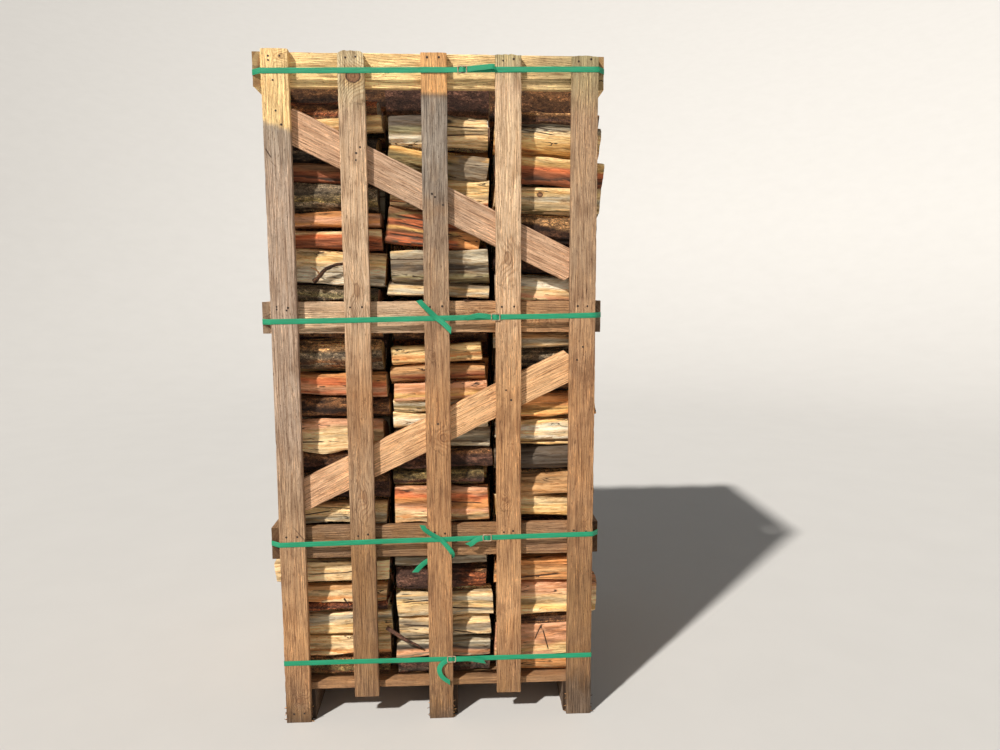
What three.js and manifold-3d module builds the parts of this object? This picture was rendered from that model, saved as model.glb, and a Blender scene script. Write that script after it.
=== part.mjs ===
// Pallet crate of split firewood: three columns of logs stacked on a deck of boards, held in by
// slatted panels at the front and back and by rails at the sides, and tied with four straps.
// Millimetres, +Z up, the front faces -Y, and the origin is at the middle of the base.

import * as THREE from 'three';
import { mergeVertices } from 'three/addons/utils/BufferGeometryUtils.js';
import Module from 'manifold-3d';

const wasm = await Module();
wasm.setup();

// Space between pieces that touch
const GAP = 0.3;

// Crate: every board is sawn to the same thickness
const BOARD = 22;
const DEPTH = 1030;
const FRONT = -DEPTH / 2;
const RAIL_LAYER = FRONT + BOARD + GAP;
const LEFT_RAIL_FACE = -514.5;
const RIGHT_RAIL_FACE = 514.3;

// Slats of one panel, from left to right. The two short ones stop above the floor.
const SLATS = [
  { x: -446.2, width: 78, bottom: 0, top: 2067 },
  { x: -228.2, width: 77, bottom: 82, top: 2064, corner: 13 },
  { x: 10.4, width: 76, bottom: 0, top: 2061 },
  { x: 228.2, width: 77, bottom: 82, top: 2061 },
  { x: 455.5, width: 79, bottom: 0, top: 2058 },
];

// Rails, at the same three heights all round
const RAILS = [
  { bottom: 538, top: 640 },
  { bottom: 1247, top: 1343 },
  { bottom: 1966, top: 2064 },
];

// Braces: the heights of the upper edge at two places across the panel
const BRACE_END = 443;
const BRACE_DROP = 107;
const BRACES = [
  { name: 'lower', low: [-387, 807], high: [416, 1196] },
  { name: 'upper', low: [416, 1503], high: [-390, 1901] },
];

// Base: runners from front to back, and the deck boards across them
const RUNNER_HEIGHT = 100;
const RUNNERS = [
  { x: -441, width: 90, wane: [0, 10] },
  { x: 16, width: 92, wane: [7, 0] },
  { x: 453, width: 92, wane: [16, 12] },
];
const DECK = { left: -488, right: 492, count: 7, width: 102 };
const DECK_BOTTOM = RUNNER_HEIGHT + GAP;
const DECK_TOP = DECK_BOTTOM + BOARD;

// Straps: a height at the left and the right end of the front, and where the buckle sits
const STRAP = { width: 16, thick: 1 };
const STRAPS = [
  { left: 202, right: 202, buckle: 44 },
  { left: 591, right: 607, buckle: 160 },
  { left: 1283, right: 1299, buckle: 189 },
  { left: 2005, right: 2020, buckle: 94 },
];
const LOWEST_STRAP = 0;
const BUCKLE = { width: 28, height: 22, wire: 2.6 };

// Loose strap ends: points as [x, height above the strap, distance in front of it]
const TAILS = [
  [[[60, 0, 0.6], [88, 1, 9], [118, -6, 3]], [[19, 0, 0.6], [16, -26, 6], [28, -58, 9], [50, -84, 4]]],
  [[[108, 2, 0.6], [66, 18, 8], [30, 42, 6], [2, 64, 12]], [[40, 0, 0.6], [10, -22, 9], [-14, -48, 14]]],
  [[[150, 2, 0.6], [112, 6, 10], [60, 30, 9], [4, 62, 12]]],
  [[[112, 0, 0.6], [140, 3, 8], [168, 1, 3]]],
];

// Log columns: the ends of the logs, and the heights where each column's tiers of logs meet
const TIERS = ['lower', 'middle', 'upper'];
const SIDE_REACH = 527;
const COLUMNS = {
  left: { ends: [-492, -156], room: [-SIDE_REACH, -139], seams: [631, 1341], top: 1945 },
  middle: { ends: [-137, 176], room: [-138.5, 180], seams: [631, 1349], top: 1905 },
  right: { ends: [186, 492], room: [180.5, SIDE_REACH], seams: [646, 1343], top: 1915 },
};
const PILES = 8;
const STACK_DEPTH = 2 * (-RAIL_LAYER - BOARD - GAP - 4);
const PILE_DEPTH = STACK_DEPTH / PILES;
const LOG_HEIGHT = 112;
const CORE_INSET = 24;
// Behind the front logs the stack is heaped up nearly to the top of the crate
const HEAP_TOP = 2046;
const HEAP_UNEVEN = 34;
const TOP_SINK = 60;

// Logs that show at the front, listed upwards:
// [bottom, top, left end, right end, shape, quarter turns, set back, tilt in degrees]
const FRONT_LOGS = {
  left: [
    [123, 189, -470, -160, 'half', 0, 14, 0],
    [190, 257, -468, -158, 'quarter', 0, 4, 0],
    [261, 343, -480, -152, 'slab', 0, 2, 1],
    [344, 374, -470, -160, 'slab', 2, 6, 0],
    [374, 428, -476, -164, 'quarter', 0, 8, 0],
    [436, 516, -519, -158, 'slab', 2, 0, 0],
    [524, 630, -490, -160, 'half', 1, 16, 0],
    [633, 710, -472, -158, 'slab', 0, 8, 0],
    [714, 799, -484, -150, 'half', 0, 22, 0],
    [803, 868, -478, -162, 'half', 2, 12, 0],
    [871, 974, -480, -160, 'quarter', 0, 0, 0],
    [976, 1048, -486, -141, 'half', 1, 2, 0],
    [1049, 1118, -478, -150, 'quarter', 3, 0, 0],
    [1126, 1227, -474, -162, 'round', 0, 0, 0],
    [1230, 1339, -486, -160, 'quarter', 1, 14, 0],
    [1343, 1390, -466, -170, 'half', 0, 10, -3],
    [1396, 1500, -482, -146, 'slab', 0, 6, -3],
    [1500, 1558, -488, -158, 'slab', 2, 4, -1],
    [1568, 1612, -480, -158, 'quarter', 0, 0, 0],
    [1612, 1703, -476, -168, 'round', 0, 2, 0],
    [1704, 1757, -488, -160, 'slab', 0, 16, 0],
    [1760, 1846, -482, -166, 'half', 1, 26, 0],
    [1849, 1892, -470, -146, 'quarter', 3, 6, 0],
    [1882, 1945, -486, -160, 'half', 0, 8, 0],
  ],
  middle: [
    [123, 181, -130, 168, 'half', 0, 16, 0],
    [182, 231, -137, 170, 'slab', 0, 4, 0],
    [233, 316, -128, 168, 'half', 1, 2, 1],
    [317, 403, -134, 176, 'slab', 0, 0, 0],
    [405, 480, -130, 160, 'half', 1, 2, 0],
    [487, 521, -136, 158, 'slab', 2, 10, 0],
    [527, 629, -128, 168, 'quarter', 0, 12, 0],
    [633, 750, -128, 170, 'quarter', 0, 0, 0],
    [751, 813, -136, 150, 'half', 1, 4, 0],
    [815, 877, -120, 176, 'half', 0, 4, 0],
    [879, 938, -134, 172, 'slab', 0, 14, 0],
    [940, 992, -132, 166, 'slab', 2, 6, 0],
    [993, 1036, -130, 168, 'slab', 0, 0, 0],
    [1037, 1090, -130, 166, 'quarter', 0, 0, 2],
    [1088, 1144, -137, 160, 'half', 1, 6, 1],
    [1150, 1207, -134, 150, 'quarter', 3, 8, 2],
    [1212, 1347, -126, 168, 'round', 0, 22, 0],
    [1351, 1398, -138, 168, 'slab', 0, 4, -2],
    [1396, 1502, -130, 172, 'slab', 2, 2, 0],
    [1504, 1612, -140, 150, 'quarter', 0, 2, -6],
    [1622, 1716, -130, 172, 'slab', 0, 12, 0],
    [1712, 1803, -134, 168, 'half', 1, 0, -7],
    [1806, 1903, -130, 170, 'half', 1, 2, -1],
  ],
  right: [
    [123, 169, 192, 492, 'slab', 0, 10, 0],
    [171, 284, 186, 488, 'quarter', 0, 0, 1],
    [286, 315, 190, 506, 'half', 0, 12, 1],
    [318, 432, 192, 517, 'slab', 0, 2, 1],
    [436, 507, 186, 500, 'quarter', 3, 0, 1],
    [512, 644, 196, 490, 'half', 1, 14, 0],
    [649, 711, 188, 500, 'quarter', 3, 0, 0],
    [714, 796, 194, 504, 'slab', 0, 0, 0],
    [798, 881, 186, 498, 'half', 1, 0, 0],
    [883, 906, 198, 488, 'slab', 0, 14, 0],
    [907, 970, 190, 502, 'quarter', 3, 4, 0],
    [974, 1052, 194, 506, 'slab', 0, 2, 1],
    [1055, 1128, 190, 498, 'half', 1, 16, 0],
    [1131, 1191, 196, 490, 'half', 0, 24, 0],
    [1195, 1244, 186, 486, 'slab', 2, 4, 0],
    [1246, 1341, 192, 490, 'quarter', 0, 16, 0],
    [1345, 1424, 190, 488, 'slab', 0, 6, 0],
    [1428, 1500, 188, 500, 'half', 1, 14, -2],
    [1504, 1612, 192, 506, 'half', 1, 4, -1],
    [1611, 1696, 188, 512, 'slab', 0, 0, -1],
    [1699, 1776, 194, 527, 'quarter', 3, 4, -1],
    [1778, 1890, 190, 521, 'half', 1, 0, -2],
    [1876, 1915, 196, 512, 'slab', 0, 6, 0],
  ],
};

// Cross-sections of a log in a cell two units high and deep: straight split faces and, between
// the corners marked, a round back
const SECTIONS = {
  round: { corners: [], arc: [0, 360], steps: 7 },
  half: { corners: [[-1, -0.94], [1, -0.94]], arc: [22, 158], steps: 2 },
  quarter: { corners: [[-0.9, 1], [-1, -1], [1, -0.92]], arc: [28, 62], steps: 1 },
  slab: { corners: [[-1, -0.94], [0.97, -1]], arc: [48, 126], steps: 1 },
};
const SHAPES_BEHIND = ['half', 'quarter', 'slab', 'round', 'quarter', 'slab'];

// The same fraction between 0 and 1 each time for the same whole numbers
function chance(...numbers) {
  let sum = 0;
  numbers.forEach((number, place) => {
    sum += (number + 1) * (12.9898 + 65.2432 * place);
  });
  const wave = Math.sin(sum) * 43758.5453;
  return wave - Math.floor(wave);
}

function paint(colour, roughness, metalness = 0) {
  return new THREE.MeshStandardMaterial({ color: colour, roughness, metalness });
}

function wood(colour) {
  return paint(colour, 0.85);
}

function piece(name, geometry, material) {
  const mesh = new THREE.Mesh(geometry, material);
  mesh.name = name;
  return mesh;
}

function toManifold(geometry) {
  const bare = geometry.clone();
  bare.deleteAttribute('normal');
  bare.deleteAttribute('uv');
  const merged = mergeVertices(bare, 1e-4);
  return new wasm.Manifold(new wasm.Mesh({
    numProp: 3,
    vertProperties: new Float32Array(merged.attributes.position.array),
    triVerts: new Uint32Array(merged.index.array),
  }));
}

function fromManifold(solid) {
  const mesh = solid.getMesh();
  const geometry = new THREE.BufferGeometry();
  geometry.setAttribute('position', new THREE.BufferAttribute(mesh.vertProperties, 3));
  geometry.setIndex(new THREE.BufferAttribute(mesh.triVerts, 1));
  return geometry;
}

function joined(geometries) {
  const solids = geometries.map(toManifold);
  return fromManifold(solids.reduce((sum, solid) => sum.add(solid)));
}

function outline(points) {
  return new THREE.Shape(points.map(([x, y]) => new THREE.Vector2(x, y)));
}

// A flat board standing across the crate: outline in x and z, from one depth to another
function panelBoard(points, front, thickness) {
  const settings = { depth: thickness, bevelEnabled: false };
  const geometry = new THREE.ExtrudeGeometry(outline(points), settings);
  geometry.rotateX(Math.PI / 2);
  geometry.translate(0, front + thickness, 0);
  return geometry;
}

function boxBetween(low, high) {
  const size = high.map((value, axis) => value - low[axis]);
  const geometry = new THREE.BoxGeometry(...size);
  geometry.translate(...high.map((value, axis) => (value + low[axis]) / 2));
  return geometry;
}

// Slatted panel of the front, and again turned round for the back
const SLAT_COLOURS = [0xbf9c78, 0xb59c7c, 0xb08a62, 0xb38c62, 0x9f7f55];

function slatOutline({ x, width, bottom, top, corner = 2 }) {
  const left = x - width / 2;
  const right = x + width / 2;
  return [
    [left, bottom], [right, bottom], [right, top - corner * 0.7], [right - corner, top],
    [left + corner, top], [left, top - corner * 0.7],
  ];
}

function slat(face, index) {
  const geometry = panelBoard(slatOutline(SLATS[index]), FRONT, BOARD);
  return piece(`${face}_slat_${index + 1}`, geometry, wood(SLAT_COLOURS[index]));
}

function panelRail(face, index) {
  const { bottom, top } = RAILS[index];
  const left = LEFT_RAIL_FACE + BOARD + GAP;
  const right = RIGHT_RAIL_FACE - BOARD - GAP;
  const points = [[left, bottom], [right, bottom], [right, top], [left, top]];
  return piece(`${face}_rail_${index + 1}`, panelBoard(points, RAIL_LAYER, BOARD), wood(0xc49a68));
}

function brace(face, { name, low, high }) {
  const slope = (high[1] - low[1]) / (high[0] - low[0]);
  const edge = (x) => low[1] + slope * (x - low[0]);
  const points = [
    [-BRACE_END, edge(-BRACE_END) - BRACE_DROP], [BRACE_END, edge(BRACE_END) - BRACE_DROP],
    [BRACE_END, edge(BRACE_END)], [-BRACE_END, edge(-BRACE_END)],
  ];
  return piece(`${face}_brace_${name}`, panelBoard(points, RAIL_LAYER, BOARD), wood(0xc79c74));
}

function panel(face) {
  const group = new THREE.Group();
  SLATS.forEach((_, index) => group.add(slat(face, index)));
  RAILS.forEach((_, index) => group.add(panelRail(face, index)));
  BRACES.forEach((entry) => group.add(brace(face, entry)));
  return group;
}

function sideRail(side, index) {
  const outer = side === 'left' ? LEFT_RAIL_FACE : RIGHT_RAIL_FACE;
  const inner = outer - Math.sign(outer) * BOARD;
  const { bottom, top } = RAILS[index];
  const geometry = boxBetween(
    [Math.min(outer, inner), RAIL_LAYER, bottom],
    [Math.max(outer, inner), -RAIL_LAYER, top],
  );
  return piece(`${side}_rail_${index + 1}`, geometry, wood(0xa58a62));
}

// Runner: a squared timber whose lower corners keep some of the round of the tree
function runner({ x, width, wane }, index) {
  const left = x - width / 2;
  const right = x + width / 2;
  const rise = 1.8;
  const points = [
    [left + wane[0], 0], [right - wane[1], 0], [right, wane[1] * rise + 1],
    [right, RUNNER_HEIGHT], [left, RUNNER_HEIGHT], [left, wane[0] * rise + 1],
  ];
  const geometry = panelBoard(points, RAIL_LAYER, -2 * RAIL_LAYER);
  return piece(`runner_${index + 1}`, geometry, wood(0x6f5a42));
}

function deckBoard(index) {
  const pitch = (-2 * RAIL_LAYER - DECK.width) / (DECK.count - 1);
  const front = RAIL_LAYER + pitch * index;
  const geometry = boxBetween(
    [DECK.left, front, DECK_BOTTOM], [DECK.right, front + DECK.width, DECK_TOP],
  );
  return piece(`deck_board_${index + 1}`, geometry, wood(0xb98d68));
}

// Logs: one cell of a pile is one log, with its section turned by quarter turns
function sectionPoints(shape, turns) {
  const { corners, arc, steps } = SECTIONS[shape];
  const points = corners.map(([u, v]) => [u, v]);
  const count = shape === 'round' ? steps : steps + 1;
  for (let step = 0; step < count; step += 1) {
    const angle = THREE.MathUtils.degToRad(arc[0] + ((arc[1] - arc[0]) * step) / steps);
    points.push([Math.cos(angle), Math.sin(angle)]);
  }
  return points.map(([u, v]) => [[u, v], [-v, u], [-u, -v], [v, -u]][turns]);
}

function logPrism({ bottom, top, front, back, left, right, shape, turns, tilt = 0 }) {
  const deep = (back - front) / 2;
  const high = (top - bottom) / 2;
  const points = sectionPoints(shape, turns).map(([u, v]) => [u * deep, v * high]);
  const settings = { depth: right - left, bevelEnabled: false };
  const geometry = new THREE.ExtrudeGeometry(outline(points), settings);
  geometry.translate(0, 0, -(right - left) / 2);
  geometry.rotateY(Math.PI / 2);
  geometry.rotateX(Math.PI / 2);
  geometry.rotateY(-THREE.MathUtils.degToRad(tilt));
  geometry.translate((left + right) / 2, (front + back) / 2, (top + bottom) / 2);
  return geometry;
}

// Heights of the cells in a hidden pile, from one height to another
function cellHeights(column, pile, tier, low, high) {
  const count = Math.max(1, Math.round((high - low) / LOG_HEIGHT));
  const shares = [];
  for (let cell = 0; cell < count; cell += 1) {
    shares.push(0.72 + 0.56 * chance(column, pile, tier, cell));
  }
  const total = shares.reduce((sum, share) => sum + share, 0);
  const heights = [low];
  shares.forEach((share) => {
    heights.push(heights[heights.length - 1] + (share * (high - low)) / total);
  });
  return heights;
}

// How far a log's outer end may stand out past the rails, the lowest strap and the deck
function outerEnd(limit, bottom, top, draw) {
  const behindRail = RAILS.some((rail) => bottom < rail.top + 4 && top > rail.bottom - 4);
  const behindStrap = bottom < 216 && top > 188;
  if (behindStrap) return limit - 12 - 12 * draw;
  return behindRail ? limit - 4 - 14 * draw : limit - 8 + 26 * draw;
}

function tierRange(column, tier, top = HEAP_TOP) {
  const edges = [DECK_TOP, ...COLUMNS[column].seams, top];
  return [edges[tier] + GAP, edges[tier + 1] - GAP];
}

function hiddenLogs(column, tier) {
  const place = Object.keys(COLUMNS).indexOf(column);
  const { ends } = COLUMNS[column];
  const [low, high] = tierRange(column, tier);
  const logs = [];
  for (let pile = 1; pile < PILES; pile += 1) {
    const crest = tier === 2 ? high - HEAP_UNEVEN * chance(place, pile, 9) : high;
    const heights = cellHeights(place, pile, tier, low, crest);
    for (let cell = 0; cell < heights.length - 1; cell += 1) {
      const [bottom, top] = [heights[cell], heights[cell + 1]];
      const draw = chance(place, pile, tier, cell, 5);
      const log = {
        bottom, top, pile, highest: tier === 2 && cell === heights.length - 2,
        front: -STACK_DEPTH / 2 + PILE_DEPTH * pile + 8 * (chance(place, pile, tier, cell, 1) - 0.5),
        back: -STACK_DEPTH / 2 + PILE_DEPTH * (pile + 1) - 6 * chance(place, pile, tier, cell, 2),
        left: ends[0] + 14 * chance(place, pile, tier, cell, 3),
        right: ends[1] - 14 * chance(place, pile, tier, cell, 4),
        shape: SHAPES_BEHIND[Math.floor(chance(place, pile, tier, cell, 6) * SHAPES_BEHIND.length)],
        turns: Math.floor(chance(place, pile, tier, cell, 7) * 4),
      };
      if (column === 'left') log.left = -outerEnd(-ends[0], bottom, top, draw);
      if (column === 'right') log.right = outerEnd(ends[1], bottom, top, draw);
      logs.push(log);
    }
  }
  return logs;
}

function frontLogs(column, tier) {
  const [low, high] = tierRange(column, tier);
  return FRONT_LOGS[column]
    .filter(([bottom, top]) => (bottom + top) / 2 > low && (bottom + top) / 2 < high)
    .map(([bottom, top, left, right, shape, turns, setBack, tilt]) => {
      const front = -STACK_DEPTH / 2 + setBack;
      return { bottom, top, left, right, shape, turns, tilt, front, back: front + PILE_DEPTH - 4 };
    });
}

// Of a hidden log only what shows is built: its whole length at the back and on top, and its
// outer end at the side
function shownPart(column, log) {
  if (log.pile === PILES - 1 || log.highest) return log;
  if (column === 'left') return { ...log, right: log.left + 3 * CORE_INSET };
  if (column === 'right') return { ...log, left: log.right - 3 * CORE_INSET };
  return null;
}

// The inside of a stack: one block under the front logs' tops and one under the heap's
function coreOfStack(column, tier) {
  const { ends, top } = COLUMNS[column];
  const [left, right] = [ends[0] + CORE_INSET, ends[1] - CORE_INSET];
  const front = -STACK_DEPTH / 2 + 2 * CORE_INSET;
  const heapFront = -STACK_DEPTH / 2 + PILE_DEPTH + CORE_INSET;
  const back = STACK_DEPTH / 2 - CORE_INSET;
  const sink = tier === 2 ? TOP_SINK : 0;
  const [low, high] = tierRange(column, tier, top);
  const heapHigh = tierRange(column, tier)[1];
  return [
    boxBetween([left, front, low], [right, back, high - sink]),
    boxBetween([left, heapFront, low], [right, back, heapHigh - sink]),
  ];
}

function logStack(column, tier) {
  const [low, high] = tierRange(column, tier);
  const shown = hiddenLogs(column, tier).map((log) => shownPart(column, log)).filter(Boolean);
  const logs = [...frontLogs(column, tier), ...shown];
  const whole = toManifold(joined([...coreOfStack(column, tier), ...logs.map(logPrism)]));
  const [from, to] = COLUMNS[column].room;
  const inside = RAIL_LAYER + BOARD + GAP;
  const room = toManifold(boxBetween([from, inside, low], [to, -inside, high]));
  const geometry = fromManifold(whole.intersect(room));
  return piece(`logs_${column}_${TIERS[tier]}`, geometry, wood(0xc98f56));
}

// Straps: a flat ribbon through points, its width along a given direction
function ribbon(points, widths, thickness, closed) {
  const count = points.length;
  const positions = [];
  points.forEach((point, index) => {
    const before = points[closed ? (index + count - 1) % count : Math.max(index - 1, 0)];
    const after = points[closed ? (index + 1) % count : Math.min(index + 1, count - 1)];
    const along = after.clone().sub(before).normalize();
    const across = widths[index].clone();
    const outward = along.clone().cross(across).normalize();
    for (const [side, face] of [[-1, -1], [1, -1], [1, 1], [-1, 1]]) {
      const corner = point.clone().addScaledVector(across, (side * STRAP.width) / 2);
      corner.addScaledVector(outward, (face * thickness) / 2);
      positions.push(corner.x, corner.y, corner.z);
    }
  });
  const faces = [];
  const spans = closed ? count : count - 1;
  for (let span = 0; span < spans; span += 1) {
    const here = 4 * span;
    const next = 4 * ((span + 1) % count);
    for (let side = 0; side < 4; side += 1) {
      const a = here + side;
      const b = here + ((side + 1) % 4);
      const c = next + ((side + 1) % 4);
      const d = next + side;
      faces.push(a, b, c, a, c, d);
    }
  }
  if (!closed) {
    const last = 4 * (count - 1);
    faces.push(0, 2, 1, 0, 3, 2, last, last + 1, last + 2, last, last + 2, last + 3);
  }
  const geometry = new THREE.BufferGeometry();
  geometry.setAttribute('position', new THREE.Float32BufferAttribute(positions, 3));
  geometry.setIndex(faces);
  return geometry;
}

// The strap's way round the crate, seen from above: over the outer slats and round the side rails
function strapLoop(index) {
  const { left, right } = STRAPS[index];
  const clear = GAP + STRAP.thick / 2;
  const edge = { left: SLATS[0].x - SLATS[0].width / 2, right: SLATS[4].x + SLATS[4].width / 2 };
  const behind = { left: -edge.right, right: -edge.left };
  const corners = [[edge.left, FRONT - clear, left], [edge.right, FRONT - clear, right]];
  if (index === LOWEST_STRAP) {
    corners.push([edge.right + clear, FRONT, right], [behind.right + clear, -FRONT, right]);
    corners.push([behind.right, -FRONT + clear, right], [behind.left, -FRONT + clear, left]);
    corners.push([behind.left - clear, -FRONT, left], [edge.left - clear, FRONT, left]);
  } else {
    const cornerY = -RAIL_LAYER + clear;
    const rightX = RIGHT_RAIL_FACE + clear;
    const leftX = LEFT_RAIL_FACE - clear;
    corners.push([rightX, -cornerY, right], [rightX, cornerY, right]);
    corners.push([behind.right, -FRONT + clear, right], [behind.left, -FRONT + clear, left]);
    corners.push([leftX, cornerY, left], [leftX, -cornerY, left]);
  }
  const points = corners.map((corner) => new THREE.Vector3(...corner));
  return ribbon(points, points.map(() => new THREE.Vector3(0, 0, -1)), STRAP.thick, true);
}

function strapHeight(index, x) {
  const { left, right } = STRAPS[index];
  return THREE.MathUtils.mapLinear(x, SLATS[0].x, SLATS[4].x, left, right);
}

function strapTail(index, route) {
  const outer = FRONT - GAP - STRAP.thick;
  const points = route.map(([x, rise, proud]) => (
    new THREE.Vector3(x, outer + STRAP.thick - proud, strapHeight(index, x) + rise)));
  const along = points[points.length - 1].clone().sub(points[0]).setY(0).normalize();
  const across = new THREE.Vector3(along.z, 0, -along.x);
  return ribbon(points, points.map(() => across), STRAP.thick, false);
}

function strap(index) {
  const tails = TAILS[index].map((route) => strapTail(index, route));
  const geometry = joined([strapLoop(index), ...tails]);
  return piece(`strap_${index + 1}`, geometry, paint(0x1fa071, 0.4));
}

// Buckle: a wire bent into a frame with a bar across the middle
function buckle(index) {
  const { width, height, wire } = BUCKLE;
  const [w, h] = [width / 2, height / 2];
  const frame = outline([[-w, -h + 3], [-w + 3, -h], [w - 3, -h], [w, -h + 3],
    [w, h - 3], [w - 3, h], [-w + 3, h], [-w, h - 3]]);
  const plate = new THREE.ExtrudeGeometry(frame, { depth: wire, bevelEnabled: false });
  plate.rotateX(Math.PI / 2);
  const window = boxBetween([wire / 2, -2 * wire, wire - h], [w - wire, wire, h - wire]);
  const otherWindow = boxBetween([wire - w, -2 * wire, wire - h], [-wire / 2, wire, h - wire]);
  const cut = toManifold(plate).subtract(toManifold(window)).subtract(toManifold(otherWindow));
  const geometry = fromManifold(cut);
  const x = STRAPS[index].buckle;
  geometry.translate(x, FRONT - 2 * GAP - STRAP.thick, strapHeight(index, x));
  return piece(`buckle_${index + 1}`, geometry, paint(0x8c8f90, 0.4, 0.9));
}

// The whole crate, moved so that the origin is at the middle of its base
const crate = new THREE.Group();
const back = panel('back');
back.rotation.z = Math.PI;
crate.add(panel('front'), back);
for (const side of ['left', 'right']) {
  RAILS.forEach((_, index) => crate.add(sideRail(side, index)));
}
RUNNERS.forEach((entry, index) => crate.add(runner(entry, index)));
for (let index = 0; index < DECK.count; index += 1) crate.add(deckBoard(index));
for (const column of Object.keys(COLUMNS)) {
  TIERS.forEach((_, tier) => crate.add(logStack(column, tier)));
}
STRAPS.forEach((_, index) => crate.add(strap(index), buckle(index)));
const extent = new THREE.Box3().setFromObject(crate);
crate.position.set(-(extent.min.x + extent.max.x) / 2, -(extent.min.y + extent.max.y) / 2, 0);

const part = new THREE.Group();
part.add(crate);
part.updateMatrixWorld(true);

export default part;
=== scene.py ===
import math

import bpy
import numpy as np
from mathutils import Matrix, Vector


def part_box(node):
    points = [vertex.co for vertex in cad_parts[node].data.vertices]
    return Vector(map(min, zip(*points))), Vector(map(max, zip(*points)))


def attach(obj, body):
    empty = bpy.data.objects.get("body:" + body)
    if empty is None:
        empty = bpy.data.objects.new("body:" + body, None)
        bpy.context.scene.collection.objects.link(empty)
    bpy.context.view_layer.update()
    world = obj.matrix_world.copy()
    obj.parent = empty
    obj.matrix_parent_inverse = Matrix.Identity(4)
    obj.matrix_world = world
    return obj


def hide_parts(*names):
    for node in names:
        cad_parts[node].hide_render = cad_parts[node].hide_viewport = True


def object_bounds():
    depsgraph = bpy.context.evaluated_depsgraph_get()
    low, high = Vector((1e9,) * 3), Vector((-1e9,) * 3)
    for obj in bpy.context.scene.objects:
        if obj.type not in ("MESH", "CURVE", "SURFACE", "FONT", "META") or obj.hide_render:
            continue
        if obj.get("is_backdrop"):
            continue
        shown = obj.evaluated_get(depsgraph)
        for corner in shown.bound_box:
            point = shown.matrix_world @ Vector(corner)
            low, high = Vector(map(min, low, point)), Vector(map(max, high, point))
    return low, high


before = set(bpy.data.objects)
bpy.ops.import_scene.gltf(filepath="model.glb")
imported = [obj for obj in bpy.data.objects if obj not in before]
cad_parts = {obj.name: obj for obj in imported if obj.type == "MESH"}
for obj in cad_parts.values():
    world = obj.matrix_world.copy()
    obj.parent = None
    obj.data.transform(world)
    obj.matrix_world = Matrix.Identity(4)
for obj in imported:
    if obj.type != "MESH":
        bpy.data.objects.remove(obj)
CAD_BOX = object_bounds()

# Lengths below are millimetres in the crate's own layout: x to the right, y to the back, z up.
# SHIFT moves them to the frame, whose origin is the middle of the base.
MM = 0.001
SLAT_XS = [-446.2, -228.2, 10.4, 228.2, 455.5]
FRONT = -515.0
SLAT_3_LOW, SLAT_3_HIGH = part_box("front_slat_3")
SHIFT = np.array([
    (SLAT_3_LOW.x + SLAT_3_HIGH.x) / 2 - SLAT_XS[2] * MM,
    SLAT_3_LOW.y - FRONT * MM,
    0.0,
])
RAIL_BACK = -470.7
LOG_CLEARANCE = 0.6
# How far the logs may reach at the sides
SIDE_LIMITS = ((CAD_BOX[0][0] - SHIFT[0]) / MM + 1, (CAD_BOX[1][0] - SHIFT[0]) / MM - 1)


def to_frame(points):
    return np.asarray(points, float) * MM + SHIFT


# Camera, solved from the slats and rails of the photograph
CAMERA_AT = (87.75, FRONT - 2198, 1380)
CAMERA_YAW, CAMERA_PITCH, CAMERA_ROLL = 2.97, 6.81, -0.15
CAMERA_LENS = 26.0


def add_camera():
    data = bpy.data.cameras.new("camera")
    data.lens = CAMERA_LENS
    data.sensor_width = 36.0
    data.clip_end = 60
    camera = bpy.data.objects.new("camera", data)
    bpy.context.scene.collection.objects.link(camera)
    turn = (Matrix.Rotation(math.radians(-CAMERA_YAW), 4, "Z")
            @ Matrix.Rotation(math.radians(90 - CAMERA_PITCH), 4, "X")
            @ Matrix.Rotation(math.radians(CAMERA_ROLL), 4, "Z"))
    camera.matrix_world = Matrix.Translation(Vector(to_frame(CAMERA_AT))) @ turn
    bpy.context.scene.camera = camera


add_camera()

# Colours, as sRGB 0 to 255
COLOURS = {
    "white": (240, 230, 208), "cream": (236, 208, 162), "paleyellow": (234, 202, 146),
    "yellow": (228, 186, 118), "orange": (216, 152, 94), "redorange": (208, 118, 74),
    "tan": (196, 154, 108), "pink": (218, 164, 128), "rust": (150, 88, 56),
    "lightgrey": (190, 180, 158), "grey": (146, 132, 112), "darkgrey": (92, 82, 72),
    "purple": (98, 70, 60), "brown": (126, 90, 60), "darkbrown": (72, 48, 34),
    "olive": (128, 112, 74), "greengrey": (164, 156, 120), "fresh": (255, 222, 160),
    "freshorange": (218, 168, 112), "greyboard": (176, 160, 142), "slateboard": (146, 130, 114),
    "pinkboard": (198, 168, 142), "creamboard": (230, 200, 164), "darkboard": (120, 90, 58),
    "redboard": (214, 172, 138), "orangeboard": (226, 182, 136), "honey": (192, 148, 104),
    "nut": (174, 131, 90), "walnut": (144, 108, 70), "soot": (96, 70, 42), "sand": (212, 182, 150),
    "ash": (184, 160, 140), "clay": (172, 142, 112), "moss": (176, 164, 120),
    "bleached": (214, 196, 156),
}


def linear(name):
    srgb = np.array(COLOURS[name], float) / 255
    return np.where(srgb <= 0.04045, srgb / 12.92, ((srgb + 0.055) / 1.055) ** 2.4)


# Random values that are the same on every run
def chance(*numbers):
    total = sum((number + 1) * (12.9898 + 65.2432 * place) for place, number in enumerate(numbers))
    wave = math.sin(total) * 43758.5453
    return wave - math.floor(wave)


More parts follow.
